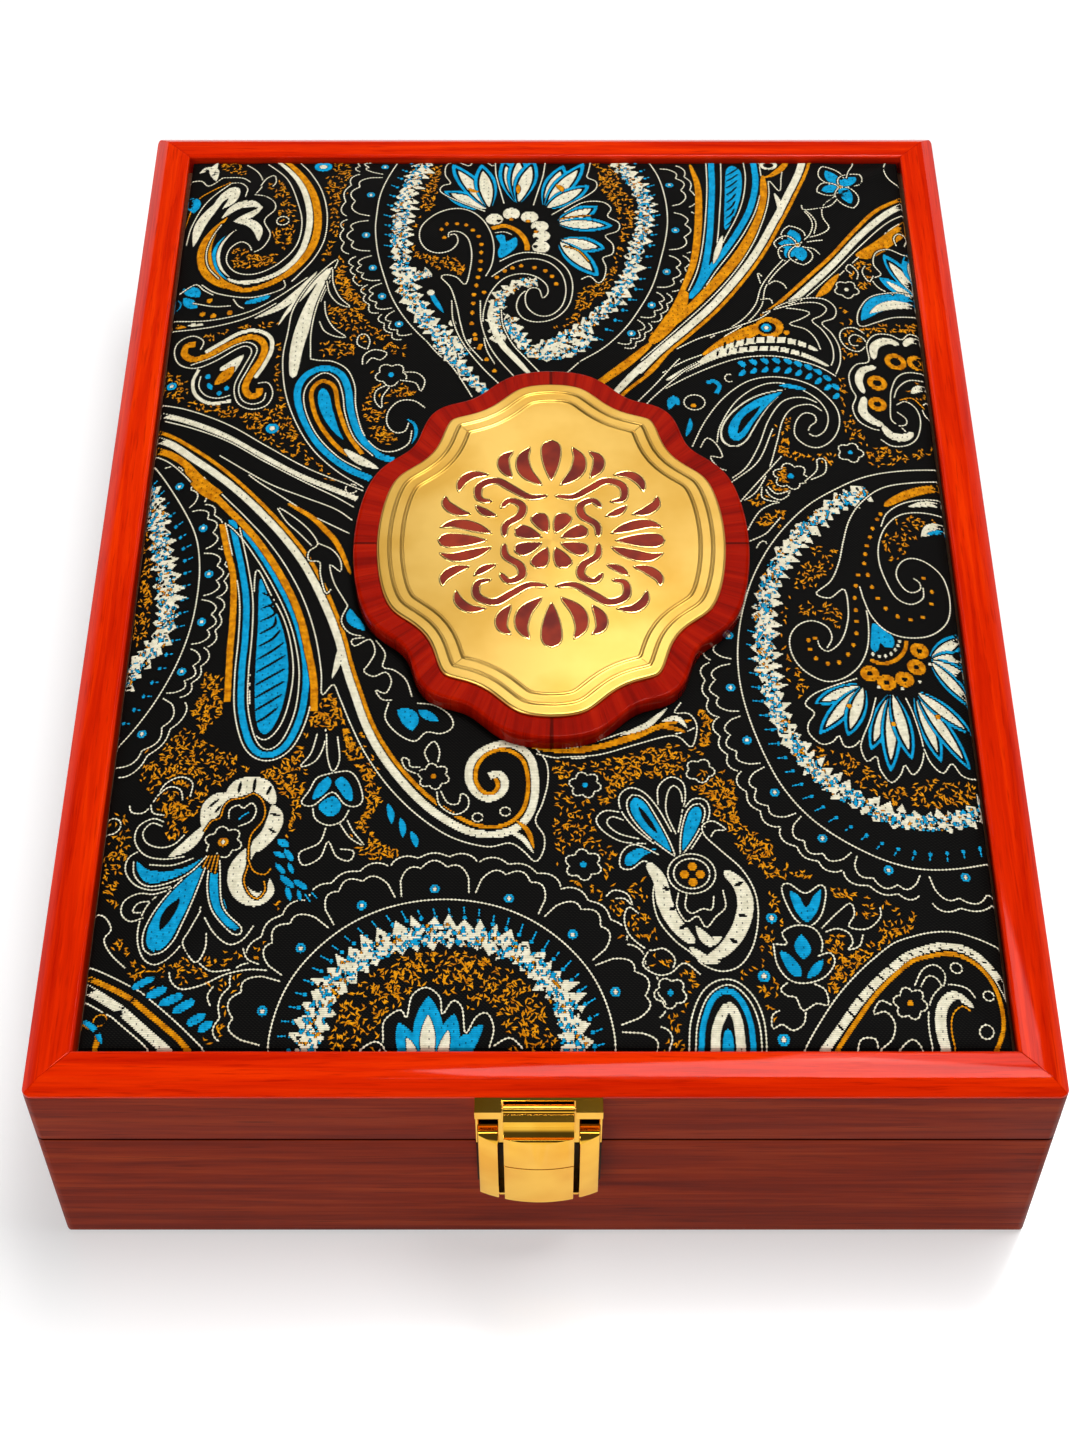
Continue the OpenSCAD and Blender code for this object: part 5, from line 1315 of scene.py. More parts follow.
trace(
    "-16,91 -14.3,96 -13.8,103 -15,110 -17.6,116 -21.5,119.3 -26,119.6 -30.5,117 -33.6,112 -34,106.5 "
    "-32.2,102.3 -29,100.6 -25.5,101.7 -23.6,105 -24.4,108.4 -26.2,107.6",
    "-26.2,106.5 -26,109.2 -23.4,109.5 -20.9,106.5 -19.8,101 -20,95 -21.2,88.3 -23.6,91 -26.4,92 -27.8,91 "
    "-25.2,87 -23.4,80 -22.2,73 -20.4,66 -16,59",
    "-12.6,97 -8,100 -4,100.8 1.5,99.3 5.8,94.5 7.4,88 6.4,80.5 3,75.5 -1.5,73.8 -5.5,75 -7.5,79 -6.8,83.5 "
    "-4.4,86.6",
    "-13,58 -15.4,64 -16.2,71 -16.2,78 -14.5,85 -11,90.5 -6.5,92.4 -2.5,91.3 0.3,88.3 0.8,85 -0.4,83 "
    "-1.3,83.4",
    "-0.8,83.2 -1.6,86.4 -3.8,86.8 -5.2,84 -4.7,79.5 -2,76.4 1.5,76.4 4.5,80 5.6,86 4.6,92 1.5,96.5 "
    "-3,98.3 -8,97 -12,93.5 -14.5,91")
speckle("-11.6,66 -12.6,72 -12.6,79 -10.6,85 -6.8,88.6 -2,89.3", 4.4)
leaf("ivory", 3.0, "-10,77 -9.4,73 -7.4,68")
leaf("blue", 1.6, "-30.8,86.5 -29.2,82 -26.6,77")
dots("ivory", 1.1, "-24.4,73.4 -30.4,85")
dots("gold", 0.7,
    "-26.8,113 -24,113.2 -21.5,112.6 -28.2,110.5 -27.3,106.8 -19.6,110.2 -18,107.4 -17.2,104 -17.2,100.8 "
    "-17.3,97.3 -17.4,94 -17.9,91 -18.3,87.8 -16.2,85.2 -18.9,84.3 -19,81 -19.2,77.3 -19.3,73.2 -18.4,69 "
    "-16.8,65 -12.9,91 -10.8,93.5 -8.7,94.6 -6.4,95.4 -2.8,94.8 0.1,93.6 1.9,91.4 3,88.4")
stipple(
    "-34,144 -29,144 -29,134 -30,122 -34,116 -36,104 -34,100 -24,99 -21,95 -22,92 -30,95 -36,100 -35.6,112 "
    "-34,122", 0.9)
stipple(
    "13.6,143 19.6,143 21,130 24.6,122 24,112 22,104 20,96 17,86 11,78 6,72 0,70 8,77 9,86 16,90 19,100 "
    "21,110 19,122 15.4,128", 0.85)
stipple("-56,100 -48,88 -44,80 -48,78 -52,82 -56,92", 0.9)

# Arch of blue beside it, with its white and gold bands
thread("blue", 1.9,
    "46.8,144.5 46.4,130 45.6,118 44.6,106 43,95.4 41,88 38.6,83 41,87 44.6,94.6 49.4,103 53.7,112 57,122 "
    "58.7,133 58.6,144.5")
trace("45.4,144.5 45,130 44.2,118 43,106 41.4,96 39.4,89 35.6,79")
trace("60.2,144.5 60.3,133 58.6,121.6 55.2,111 50.8,102 46,93.6 42,86 37,79")
trace("49.6,144.5 48.9,130 47.9,117 46.8,105.6 45.4,97 48.6,105.6 51.9,114 54.7,124 56,135 55.8,144.5")
leaf("ivory", 1.8, "48.4,108 46.6,101 45.2,96")
blob("blue", "52.8,141 54.8,138 54.8,130 53.3,121 50.5,112 48.9,110.4 49.1,117 49.7,126 50.3,135 51,139.5")
for k in range(8):
    y = 137.6 - 3.4 * k
    leaf("ground", 0.45, [(50.4 - 0.15 * k, y - 2.0), (52.4 - 0.2 * k, y),
        (54.6 - 0.42 * k, y + 2.6)], "band")
leaf("gold", 2.2, "40.8,142 42.4,130 42.2,118 41.4,107 40,97 37.6,88.6 34.4,80", "band")
leaf("gold", 4.2, "37.4,86 35,78 31,70.6 27.4,65.6", "band")
leaf("gold", 3.0, "60.9,136 60.2,122 57.4,111 53,101 47,91 40.4,81.6 34,73.6 28,66.6", "band")
trace(
    "67.4,144 66,135 65,127.6 62.4,132.6 62,126 60.6,118 57.8,108 54,99 49,90 43,81.4 36.6,73.4 30,65.4 "
    "24.6,59")
leaf("ivory", 2.0, "63.4,127 64.8,120 63.4,113")
thread("ivory", 2.2, "73,145.5 70.4,135 66.4,123.6 62,112 57,100.6 51,90 44,79.6 37,71 30,63 24,55")
thread("gold", 1.1,
    "75,145 72.2,134.4 68.2,123 63.8,111.4 58.8,100 52.8,89.2 45.8,78.6 38.8,70 31.8,62 26,54")
ring("ivory", 1.2, 62.8, 141.4, 2.0)
leaf("gold", 2.2, "60.4,134.6 63,135.6 66.6,140 69,146")
stipple("27,66 32,72 34,79 31,76 27,70", 1.2)

# Pair of small blue flowers and their stem
for x, y, petals in ((68.4, 103.8, ((66.8, 110), (63.2, 104.4), (64.8, 98.8), (69.4, 97.4))),
        (82, 129.6, ((78.6, 138.4), (86.8, 135), (76.6, 127.8), (84.4, 122.4)))):
    for u, v in petals:
        leaf("blue", 3.9, [(x, y), ((x + u) / 2, (y + v) / 2), (u, v)])
        rim("ivory", "leaf", 6.6, [(x, y), ((x + u) / 2, (y + v) / 2),
            (u + (u - x) * 0.24, v + (v - y) * 0.24)])
    dots("ivory", 0.9, [(x, y)])
    dots("gold", 0.5, [(x, y)])
trace(
    "80,124.6 76.6,120.4 76,116 77.6,112 75,109 70.6,106.6", "81,124 77.8,120 71.4,118.6 70.6,121.4",
    "71,118.2 73,113 72,108.4 70,105.6", "71.6,118 74,113.4 73.2,108.6", "70.4,103 72.6,102.8 74.4,100.6",
    "70.6,105 73,106 75.4,106.6", "65.8,97.8 62,93 58.8,87 57.4,80 53.6,74 46.6,68",
    "64.4,98.4 60.4,92.4 57.6,87 55.6,80 51,73.6 43,67.6", "59.4,88 61.6,89.6 63.8,88.2 64.4,86.4",
    "57.2,82.4 59.8,82.6 60.4,80.4", "58.4,91 57,92.6 57.6,88.4")

# Gold-edged band that falls from the right edge
thread("gold", 1.2, "101,129 92,121.6 85,112 77,100 69,89.4 62,81 57,76")
thread("ivory", 2.0, "101,126.4 94,120 86,109.6 78,97.8 70,87 64.6,80.6")
trace("101,122.4 94,116.4 86,105.8 78,94.6 70.4,84.6 67.4,81.4", "101,120 94.8,114 87,103.6 79,93 72,84.2")
blob("gold", "72,83.8 76,86.4 79.2,93.8 75.4,90")
blob("gold", "84,101.6 89,107 95.6,114.6 100,119 99,112.6 94,106.6 92.4,104.6 87.6,100.6")
stipple("80,96 84,100 88,99 88,92 84,86 84,91 80.6,93", 1.1)
leaf("blue", 5.8, "100,88.6 95.6,97 91.8,103.4")
leaf("ground", 4.0, "100,88.6 96,96 92.6,101.6")
leaf("ivory", 3.2, "100,88.4 96.4,95 93.2,100.4")
leaf("blue", 5.4, "100.5,92 99.4,98 98.6,105")
leaf("ivory", 2.4, "100,93 99.4,98 98.8,102")
leaf("blue", 4.4, "100,86.6 94.4,90.4 89.8,93.8")
leaf("ivory", 2.2, "99.4,87.4 95,90 91.6,92.6")
leaf("blue", 5.6, "83.6,76 88,82.4 94,85.4 101,84.4")
leaf("ivory", 3.2, "86,79 90,82.2 95,84 101,83.2")
trace("101,105 97.6,104.2 93.4,105.6 89.8,103.4 88.8,98.6 90.6,95 88,92.6 89.6,89.4 93.4,87.4")
trace("101,88.2 94,88.4 87,85.6 83.4,80 82.6,75 84,73.8 88,76 93,78.6 101,80.4")
flower(80.6, 87.6, 3.4, 5, 0.4, "ivory")
trace("83.6,91.4 84.2,94.6 82.2,97.6 81,95.6 82.6,93.8")
trace("86.6,98 85.4,95 87,91.4 88.4,94", "96,107 95.4,110.4 97,112.6 99,111 98,107.4")
trace("96.4,144.5 95,139 96.4,135 100.6,131.4", "84,133.8 85,138 86.6,142 86,145")

# Broad leaf with its eye, blue chevrons and spiral
leaf("gold", 4.4, "40.4,61 46,65 52,69 58,72.4 63,73")
dots("gold", 3.9, "59,71.8")
dots("ground", 2.3, "58.4,71.6")
eye(58.2, 71.6, 1.5)
dots("gold", 0.9, "63.4,69.8 60.4,68.6")
trace(
    "34,63.4 40,67.4 46,70 52,72.8 57,75.4 62,80 68,82.6 74,83.2 77,80.2 76.4,76.2 73,73.8 75.4,70 77,65 "
    "76.8,59.4 75.2,54.4",
    "57,77 62,79 67,78.6 70,77.3 67.6,75 64.4,73 68.6,71 71,67.4 72,63.4",
    "60,78.4 67,80.8 72.4,81.4 74.6,79.4 73,76.6 70.4,74.4 73,71 75,66 75.2,61 74.2,57.6")
leaf("ivory", 2.2, "40,58.8 46,63.4 53,66.4 60,67.2 66,66 71.4,63", "band")
leaf("ivory", 1.9, "31,52 38,57 45,61.2 52,63.4 60,63.8 67,61.6 74,57.4", "band")
for k in range(9):
    x, y = (47 + 2.7 * k, 64.4 + 2.9 * math.sin((k + 0.6) / 9.2 * math.pi) ** 0.8)
    leaf("ground", 0.5, [(x - 0.2, y - 1.5), (x + 0.2, y + 1.4)], "band")
    leaf("ground", 0.45, [(x - 2.2, y - 4.3), (x - 1.8, y - 2.0)], "band")
trace("30,48.4 37,53.4 45,58 52,60.6 60,61 67,59 72,56.6 75.4,54", "30,54.6 36,59 41,61.6")
for x, y in ((51, 57), (54, 57.7), (57, 58.1), (60, 58.2), (63, 57.9), (65.6, 57), (68.2, 55.8),
        (70.6, 54.2), (72.8, 52), (74.8, 49)):
    leaf("blue", 1.7, [(x - 1.2, y + 1.9), (x + 0.3, y + 1.2), (x + 0.7, y - 0.2)], "band")
    leaf("blue", 1.5, [(x + 0.6, y - 0.8), (x + 0.2, y - 2.2), (x - 1.1, y - 3.2)], "band")
trace(
    "37,28.4 41,38 46,46 52,51.6 58,53.4 64,52.6 68.6,50.4 72,47 74.6,42.4 75,37 73,31.6 69.4,28.4 66,29 "
    "63.4,32.4 63.8,37 66,40.3 68.6,39.8 69,37.4 67.4,35.8 66.8,34",
    "43.4,29.6 44.6,36 49,44.6 55,50 60.6,51.2 66,48.8 70.4,44.6 72.2,39.6 71.2,34.6 68.6,32.2 66.6,33.4",
    "48,9.4 52.4,13 56,20.6 58.6,30 60.6,38 63.6,42.4 68,43.4 71,41",
    "46.4,17.6 50.4,21.4 54,29 57,38 61,44.6 66,46 70,44")
leaf("ivory", 8.2, "46.6,28.4 49.6,36.6 55,44 62,49", "drop")
leaf("ground", 7.0, "46.9,29 49.7,36.7 55,43.9 61.6,48.6", "drop")
leaf("blue", 5.4, "47.8,30.6 50.2,37.2 55,43.5 61.2,48.2", "drop")
leaf("ground", 1.9, "48.9,33 51.2,38 55,42.8")
leaf("blue", 1.5, "60,50.4 64,49.8 67.6,48.6")
ring("ivory", 0.7, 38.3, 44.2, 2.7)
dots("gold", 0.8, "38,43")
trace("48.6,54 47.2,54.4 46.4,53 47.2,51.6 48.4,51.8")
thread("blue", 1.3, "41.6,51.2 43.6,51.8 45,50 44,47.4")
leaf("blue", 2.6, "31.6,41.6 33,45.4 34.4,43")
leaf("blue", 1.5, "37,38.8 36.8,35.6 35.6,32")
trace("39,28 41,31.6 43.4,29.2 44.6,25 41.6,25.4 43.4,21.6 45.8,20.4")
flower(61.4, 18.4, 4.5, 6, 0.2)
flower(77, 27, 3.4, 5, 0.6)
trace("66,17 70,19.6 70.4,24 68.4,24.2 68,20.4 64.6,16.4", "54,14.6 54,11 58,10 61,13.4 57.6,12.4 55.4,15")
stipple("58,37 63,40 61,32 63,27 68,26 74,27 72,22 66,24.6 62,24 57,22 53,14 50,10 56,19", 1.0)
stipple(
    "76,56 78,52 78,44 79,36 84,30 92,29 100,34 100,30 90,25 82,22 81,30 76,32 "
    "76,40", 0.7, [circle(77, 27, 4)])
stipple("77,72 80,79 78,81 82,74 86,74.6 94,76 100,78.6 100,74 92,72.6 86,72 82,63 78,61", 1.0)
trace(
    "82.6,66.4 80.4,66.2 79.8,68.6 81.4,70.4 83.8,69 84,66.4 82,64 79,65 77.4,68.6 78.4,72 81.6,73 "
    "84.4,70.8",
    "100.5,72 96.4,73 94,70.4 91,71.6 87,71 84.4,67 84.4,60.6 81,59 78.8,55 79,50 80,47 78.8,43 80,38.4 "
    "83.2,36 85.6,35.6")
leaf("ivory", 2.3, "86.4,58.8 82.6,57 81.2,53 82.2,48.4", "band")
for path in (
    "82.2,47.4 81.4,42 83.6,38.8 86.6,37.6", "85.8,61.4 86.4,66.4 89.6,69 93.4,68.4",
    "86,37.4 88,34.4 91,34 94.2,36.4",
):
    leaf("ivory", 2.6, path, "band")
leaf("ivory", 2.2, "94.4,68 96.4,70.6 101,70.4", "band")
for x, y, r in ((86, 52.8, 1.9), (85.4, 45, 1.7), (91.6, 61.6, 2.2), (97.2, 62.4, 1.8)):
    ring("gold", 1.6, x, y, r)
trace(
    "92.4,36 90.6,38.2 88.6,40 88.9,46 89.6,51 91.6,56 95,58.4 101,58.6", "90,43.4 92.6,41 92.2,38.8 90,38",
    "90.4,45.6 93,47.4 95.6,45.4 96.4,41 95,35 92,31.6 88,30.6 85,32.6", "90,48 91.4,52 94.6,55.4 99,56",
    "100.5,41.6 98,43 97.4,46.6 100,49.4")
trace("91.4,47.6 95,49 98,45.6", yarn="gold")
leaf("ivory", 2.2, "94.6,50.6 97,53 100,53.4")
stipple("92,48 98,48 100,55 96,55", 0.9)

# Ends of the bands that run under the plaque
trace("-31,66.6 -28,62 -24,57 -18.6,46", "9,59 5,54 2,50")
speckle("-28.4,66.7 -20.2,54.2 -14.8,47", 4.2)
speckle("-10.1,75.3 -6.6,66.7 -0.7,61.4 6.2,62.5 12.2,68.8", 5.0)
trace("-24.8,82.5 -24.1,73.8 -21.2,65.3 -16.3,56.9 -10.4,49", "-17.2,82.5 -16.6,72.4 -13.5,62.5 -7,52")
dots("gold", 0.7, "-18.2,67.4 -17.2,63.9 -15.2,59.7 -13.1,55.5")
leaf("ivory", 1.9, "-13.7,82.5 -14.4,75.3 -11.5,66 -7.5,59.7 -3,53", "band")
trace("-11.6,79 -11,72.4 -8.4,65.4 -4.6,59.7 0,53")
leaf("gold", 2.6, "28,66 21.9,59 15,52.1 11,48", "band")
leaf("ivory", 2.2, "30,62.6 24.8,56.9 18.8,48.7 16,45", "band")
thread("gold", 1.1, "31.8,62 27.7,55.5 20.7,48 18,44")
trace(
    "35,60 33.7,58.3 28,50 23,43.6", "40,58.6 35.5,54.9 27.5,45.7 25,42", "57.8,34.7 53.4,23.3 46,16",
    "59.4,25.1 54.4,18.2 47,8", "54.8,14.4 55.8,11.9 58.3,10.4 60.6,12", "49.5,0 52.8,6.4 56,8.9 58.4,9.6",
    "49.6,-3.4 53.9,-1 55.9,1.5 58.1,4.6", "51.4,-5.9 52.6,-3.6 53.9,-3.3 54.2,-4.8")
stipple("50,10 54,14 58,19 60,22 60.4,13 57,12 53,8", 1.6)
stipple("52,3 56,7 59,8 59,2 56,0", 1.6)
leaf("gold", 1.7, "3.4,-67.4 12,-66.2 20.6,-63.3 26.5,-60.3 32.5,-61.9", "band")
leaf("ivory", 1.7, "17,-62.9 23,-60.1 26.3,-56.9 28.6,-54.4")
leaf("ivory", 1.5, "26.6,-58.8 30.4,-57.9 32.9,-61")
trace(
    "3.4,-69.2 12,-68.5 20.6,-65.6 28.1,-63.1 31,-63.6 33.6,-66.2 35,-60.4 33.3,-56.6 30,-56.2 31.6,-53.1")
stipple("34.8,-54.6 38.2,-55.3 38.9,-60.4 37.2,-65.5 35.4,-69.1 35.2,-64", 1.4)
stipple(
    "13.6,-71.2 22.3,-66.9 28.6,-66.2 33.1,-69.1 38.6,-74 42.8,-81 43.6,-89.3 39.1,-87.9 35,-79.6 28.4,-74 "
    "20.4,-76.1 14.6,-79.6", 0.7)

# Floats: every stretch of weft on the face is a small crowned strand with pointed ends, where it dives
# back through the ground, and a warp binds long ones down every few millimetres, in a twill step.
# Cords are beaded by their twist, and short gold picks lie where the ground stays bare.
FLOAT_CROWN = 0.16 * MM
FLOAT_EDGE = 0.03 * MM
FLOAT_HALF = 0.195
FLOAT_TIP = 0.2
FLOAT_SPAN = 2.6
FLOAT_LEAST = 0.25
BIND_PITCH = 5.2
BIND_STEP = 1.3
BIND_GAP = 0.03
BIND_CLEAR = 1.0
PICK_HALF = 0.22
PICK_CROWN = 0.18 * MM
CORD_STEP = 0.42
CORD_SECTIONS = ((0.25, 0.26), (0.05, 0.03))
RAY_START = 10 * MM
SPUN = 1.4 * MM
FIBRE = (1.5 * MM, 0.12 * MM, 0.12 * MM)
FIBRE_DEPTH = 0.05 * MM
YARN_TONES = {
    "ivory": ("#CFC8AC", "#EBE5CD"),
    "blue": ("#0682B0", "#12A2D4"),
    "gold": ("#A85E04", "#E4980F"),
}


def on_cloth(x, y, lift):
    """A point of the flat drawing, laid on the drawn cloth and kept on its face."""
    x, y = [max(-half, min(half, place)) for place, half in zip((x, y), FIGURE_HALF)]
    above = Vector((x * MM, y * MM, PAD_HIGH.z + RAY_START))
    return cloth_face.ray_cast(above, Vector((0.0, 0.0, -1.0)))[0] + Vector((0.0, 0.0, lift))


def lay_float(bm, left, right, level):
    """One strand: a pointed tip at each end and crowned stretches between."""
    tip = min(FLOAT_TIP, (right - left) / 2)
    count = math.ceil((right - left - 2 * tip) / FLOAT_SPAN)
    stations = [left + tip + (right - left - 2 * tip) * k / max(1, count) for k in range(count + 1)]
    first = bm.verts.new(on_cloth(left, level, FLOAT_EDGE))
    last = bm.verts.new(on_cloth(right, level, FLOAT_EDGE))
    slices = [[
        bm.verts.new(on_cloth(x, level - FLOAT_HALF, FLOAT_EDGE)),
        bm.verts.new(on_cloth(x, level, FLOAT_CROWN)),
        bm.verts.new(on_cloth(x, level + FLOAT_HALF, FLOAT_EDGE))] for x in stations]
    for i in (0, 1):
        bm.faces.new((first, slices[0][i], slices[0][i + 1]))
        bm.faces.new((slices[-1][i], last, slices[-1][i + 1]))
        for a, b in zip(slices, slices[1:]):
            bm.faces.new((a[i], b[i], b[i + 1], a[i + 1]))


def cell_at(x, y):
    """The row and cell of the figure under a point, if it lies on the figure."""
    row, cell = int((y + FIGURE_HALF[1]) / ROW), int((x + FIGURE_HALF[0]) / CELL)
    return (row, cell) if 0 <= row < figure.shape[0] and 0 <= cell < figure.shape[1] else None


def lay_cord(bm, line, number):
    """One cord, beaded by its twist, along the stretches where nothing drawn later covers its bed."""
    point, length = walk(line)
    before = None
    for k in range(int(length / CORD_STEP) + 1):
        spot = cell_at(*point(k * CORD_STEP, 0.0))
        if not spot or bedded[spot] != number:
            before = None
            continue
        half, crown = CORD_SECTIONS[k % 2]
        section = [
            bm.verts.new(on_cloth(*point(k * CORD_STEP, off), lift))
            for off, lift in ((half, FLOAT_EDGE), (0.0, crown * MM), (-half, FLOAT_EDGE))]
        if before:
            for j in (0, 1):
                bm.faces.new((before[j], before[j + 1], section[j + 1], section[j]))
        before = section


def lay_pick(bm, ends):
    """One short curled pick with pointed ends, if the ground is bare under all of it."""
    for end in ends:
        spot = cell_at(*end)
        if not spot or figure[spot] or bedded[spot]:
            return
    (ax, ay), (x, y), (bx, by) = ends
    length = math.dist((ax, ay), (bx, by)) or 1.0
    nx, ny = (ay - by) / length * PICK_HALF, (bx - ax) / length * PICK_HALF
    first, last = [bm.verts.new(on_cloth(*end, FLOAT_EDGE)) for end in (ends[0], ends[2])]
    left, crown, right = [
        bm.verts.new(on_cloth(x + nx * side, y + ny * side, PICK_CROWN if side == 0 else FLOAT_EDGE))
        for side in (1, 0, -1)]
    for corners in ((first, left, crown), (first, crown, right), (left, last, crown), (crown, last, right)):
        face = bm.faces.new(corners)
        face.normal_update()
        if face.normal.z < 0:
            face.normal_flip()


for yarn, tones in YARN_TONES.items():
    bm = bmesh.new()
    for row in range(len(figure)):
        level = (row + 0.5) * ROW - FIGURE_HALF[1]
        shown = numpy.concatenate(([0], figure[row] == YARNS.index(yarn), [0])).astype(numpy.int8)
        starts, ends = numpy.flatnonzero(numpy.diff(shown) == 1), numpy.flatnonzero(numpy.diff(shown) == -1)
        for start, end in zip(starts * CELL - FIGURE_HALF[0], ends * CELL - FIGURE_HALF[0]):
            step = row * BIND_STEP
            bind = math.ceil((start + BIND_CLEAR - step) / BIND_PITCH) * BIND_PITCH + step
            while bind < end - BIND_CLEAR:
                lay_float(bm, start, bind - BIND_GAP / 2, level)
                start = bind + BIND_GAP / 2
                bind += BIND_PITCH
            if end - start > FLOAT_LEAST:
                lay_float(bm, start, end, level)
    yarn_finish, tree, shader = surface(
        yarn + "_silk_weft", Roughness=0.45, Specular_IOR_Level=0.3, Specular_Tint=linear(tones[1]))
    place = add(tree, "ShaderNodeTexCoord").outputs["Object"]
    mottled(tree, shader, place, SPUN, 3.0, (0.3, tones[0]), (0.65, tones[1]))
    fibres = add(tree, "ShaderNodeMapping", {"Vector": place, "Scale": [1 / size for size in FIBRE]})
    grain = add(tree, "ShaderNodeTexNoise", {"Vector": fibres.outputs[0], "Scale": 1.0, "Detail": 2.0})
    raised(tree, shader, grain.outputs[0], 0.3, FIBRE_DEPTH)
    new_piece("brocade_%s_floats" % yarn, bm, yarn_finish, "lid")
    bm = bmesh.new()
    for number, (colour, line) in enumerate(cords, 1):
        if colour == yarn:
            lay_cord(bm, line, number)
    if yarn == "gold":
        for ends in picks:
            lay_pick(bm, ends)
    new_piece("brocade_%s_lines" % yarn, bm, yarn_finish, "lid")

# Medallion plaque: an eight-lobed board of rosewood, screwed through the panel from below.
# Four veneers meet on its axes with their grain running outwards, under a polished lacquer.
LOBE_NOTCHES = ((37.5, 0.095), (64.0, 0.07))
LOBE_SPREAD = 10.0
LOBE_POINTS = 240
LOBE_CLEAR = 0.99
LOBE_CAP = (0.75, 0.5, 0.25)
PLAQUE_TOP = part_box("medallion_plaque")[1].z
PLAQUE_EDGE = ((0.0, 4.2), (0.0, 0.6), (0.18, 0.18), (0.6, 0.0), (0.9, 0.0), (7.0, 0.0))
ROSEWOOD = {"dark": "#760801", "middle": "#920F01", "pale": "#A81B03", "line": "#2A0401"}
ROSEWOOD_SHINE = "#B02408"
ROSEWOOD_STREAK = (18.0, 1 / (34 * MM), 1.0)
ROSEWOOD_PORE = (95.0, 1 / (9 * MM), 1.0)


def lobed(inset, depth, top):
    """One ring of the lobed outline, drawn in by an inset and set below a height, in millimetres."""
    ring_points = []
    for k in range(LOBE_POINTS):
        turn = 360.0 * k / LOBE_POINTS
        folded = min(turn % 180, 180 - turn % 180)
        reach = 1.0
        for notch, cut in LOBE_NOTCHES:
            reach -= cut * math.exp(-((folded - notch) / LOBE_SPREAD) ** 2)
        ring_points.append((
            LOBE_CENTRE[0] + reach * LOBE_HALF[0] * math.cos(math.radians(turn)),
            LOBE_CENTRE[1] + reach * LOBE_HALF[1] * math.sin(math.radians(turn))))
    drawn_in = edges_of(ring_points, [inset] * LOBE_POINTS, True)[0]
    least = inset * LOBE_CLEAR
    clear = [min(math.dist(spot, rim_spot) for rim_spot in ring_points) >= least for spot in drawn_in]
    places = []
    for k, spot in enumerate(drawn_in):
        if not clear[k]:
            back = next(i for i in range(1, LOBE_POINTS) if clear[k - i])
            ahead = next(i for i in range(1, LOBE_POINTS) if clear[(k + i) % LOBE_POINTS])
            a, b = drawn_in[k - back], drawn_in[(k + ahead) % LOBE_POINTS]
            spot = [u + (v - u) * back / (back + ahead) for u, v in zip(a, b)]
        places.append(Vector((spot[0] * MM, spot[1] * MM, top - depth * MM)))
    return places


def lobed_solid(profile, top):
    """A closed solid whose section steps through (inset, depth) pairs from its foot to its top."""
    bm = bmesh.new()
    rings = []
    for inset, depth in profile:
        rings.append([bm.verts.new(place) for place in lobed(inset, depth, top)])
    for lower, upper in zip(rings, rings[1:]):
        for k in range(LOBE_POINTS):
            j = (k + 1) % LOBE_POINTS
            bm.faces.new((lower[k], lower[j], upper[j], upper[k]))
    bm.faces.new(rings[0][::-1])
    middle = Vector((LOBE_CENTRE[0] * MM, LOBE_CENTRE[1] * MM, rings[-1][0].co.z))
    for share in LOBE_CAP:
        inner = [bm.verts.new(middle.lerp(vert.co, share)) for vert in rings[len(profile) - 1]]
        for k in range(LOBE_POINTS):
            j = (k + 1) % LOBE_POINTS
            bm.faces.new((rings[-1][k], rings[-1][j], inner[j], inner[k]))
        rings.append(inner)
    tip = bm.verts.new(middle)
    for k in range(LOBE_POINTS):
        bm.faces.new((rings[-1][k], rings[-1][(k + 1) % LOBE_POINTS], tip))
    return bm


rosewood, tree, shader = surface(
    "rosewood", Roughness=0.12, Specular_IOR_Level=0.05, Specular_Tint=linear(ROSEWOOD_SHINE),
    Coat_Weight=0.04, Coat_Roughness=0.05, Coat_IOR=1.45)
place = add(tree, "ShaderNodeTexCoord").outputs["Object"]
middle = add(tree, "ShaderNodeVectorMath", {
    0: place, 1: (LOBE_CENTRE[0] * MM, LOBE_CENTRE[1] * MM, 0.0)}, operation="SUBTRACT")
split = add(tree, "ShaderNodeSeparateXYZ", {0: middle.outputs[0]})
turn = add(tree, "ShaderNodeMath", {0: split.outputs[1], 1: split.outputs[0]}, operation="ARCTAN2")
reach = add(tree, "ShaderNodeVectorMath", {0: middle.outputs[0]}, operation="LENGTH")
radial = add(tree, "ShaderNodeCombineXYZ", {0: turn.outputs[0], 1: reach.outputs["Value"]})
streaks = add(tree, "ShaderNodeMapping", {"Vector": radial.outputs[0], "Scale": ROSEWOOD_STREAK})
soft = add(tree, "ShaderNodeTexNoise", {
    "Vector": streaks.outputs[0], "Scale": 1.0, "Detail": 5.0, "Roughness": 0.6, "Distortion": 0.5})
tone = add(tree, "ShaderNodeValToRGB", {"Fac": soft.outputs[0]}, stops=[
    (0.3, ROSEWOOD["dark"]), (0.5, ROSEWOOD["middle"]), (0.7, ROSEWOOD["pale"])])
pores = add(tree, "ShaderNodeMapping", {"Vector": radial.outputs[0], "Scale": ROSEWOOD_PORE})
flecks = add(tree, "ShaderNodeTexNoise", {"Vector": pores.outputs[0], "Scale": 1.0, "Detail": 3.0})
share = add(tree, "ShaderNodeMapRange", {
    "Value": flecks.outputs[0], "From Min": 0.56, "From Max": 0.72, "To Min": 0.0, "To Max": 0.4})
grained = add(tree, "ShaderNodeMix", {
    0: share.outputs[0], 6: tone.outputs[0], 7: linear(ROSEWOOD["line"])}, data_type="RGBA")
double = add(tree, "ShaderNodeMath", {0: turn.outputs[0], 1: 2.0}, operation="MULTIPLY")
cross = add(tree, "ShaderNodeMath", {0: double.outputs[0]}, operation="SINE")
near = add(tree, "ShaderNodeMath", {0: cross.outputs[0]}, operation="ABSOLUTE")
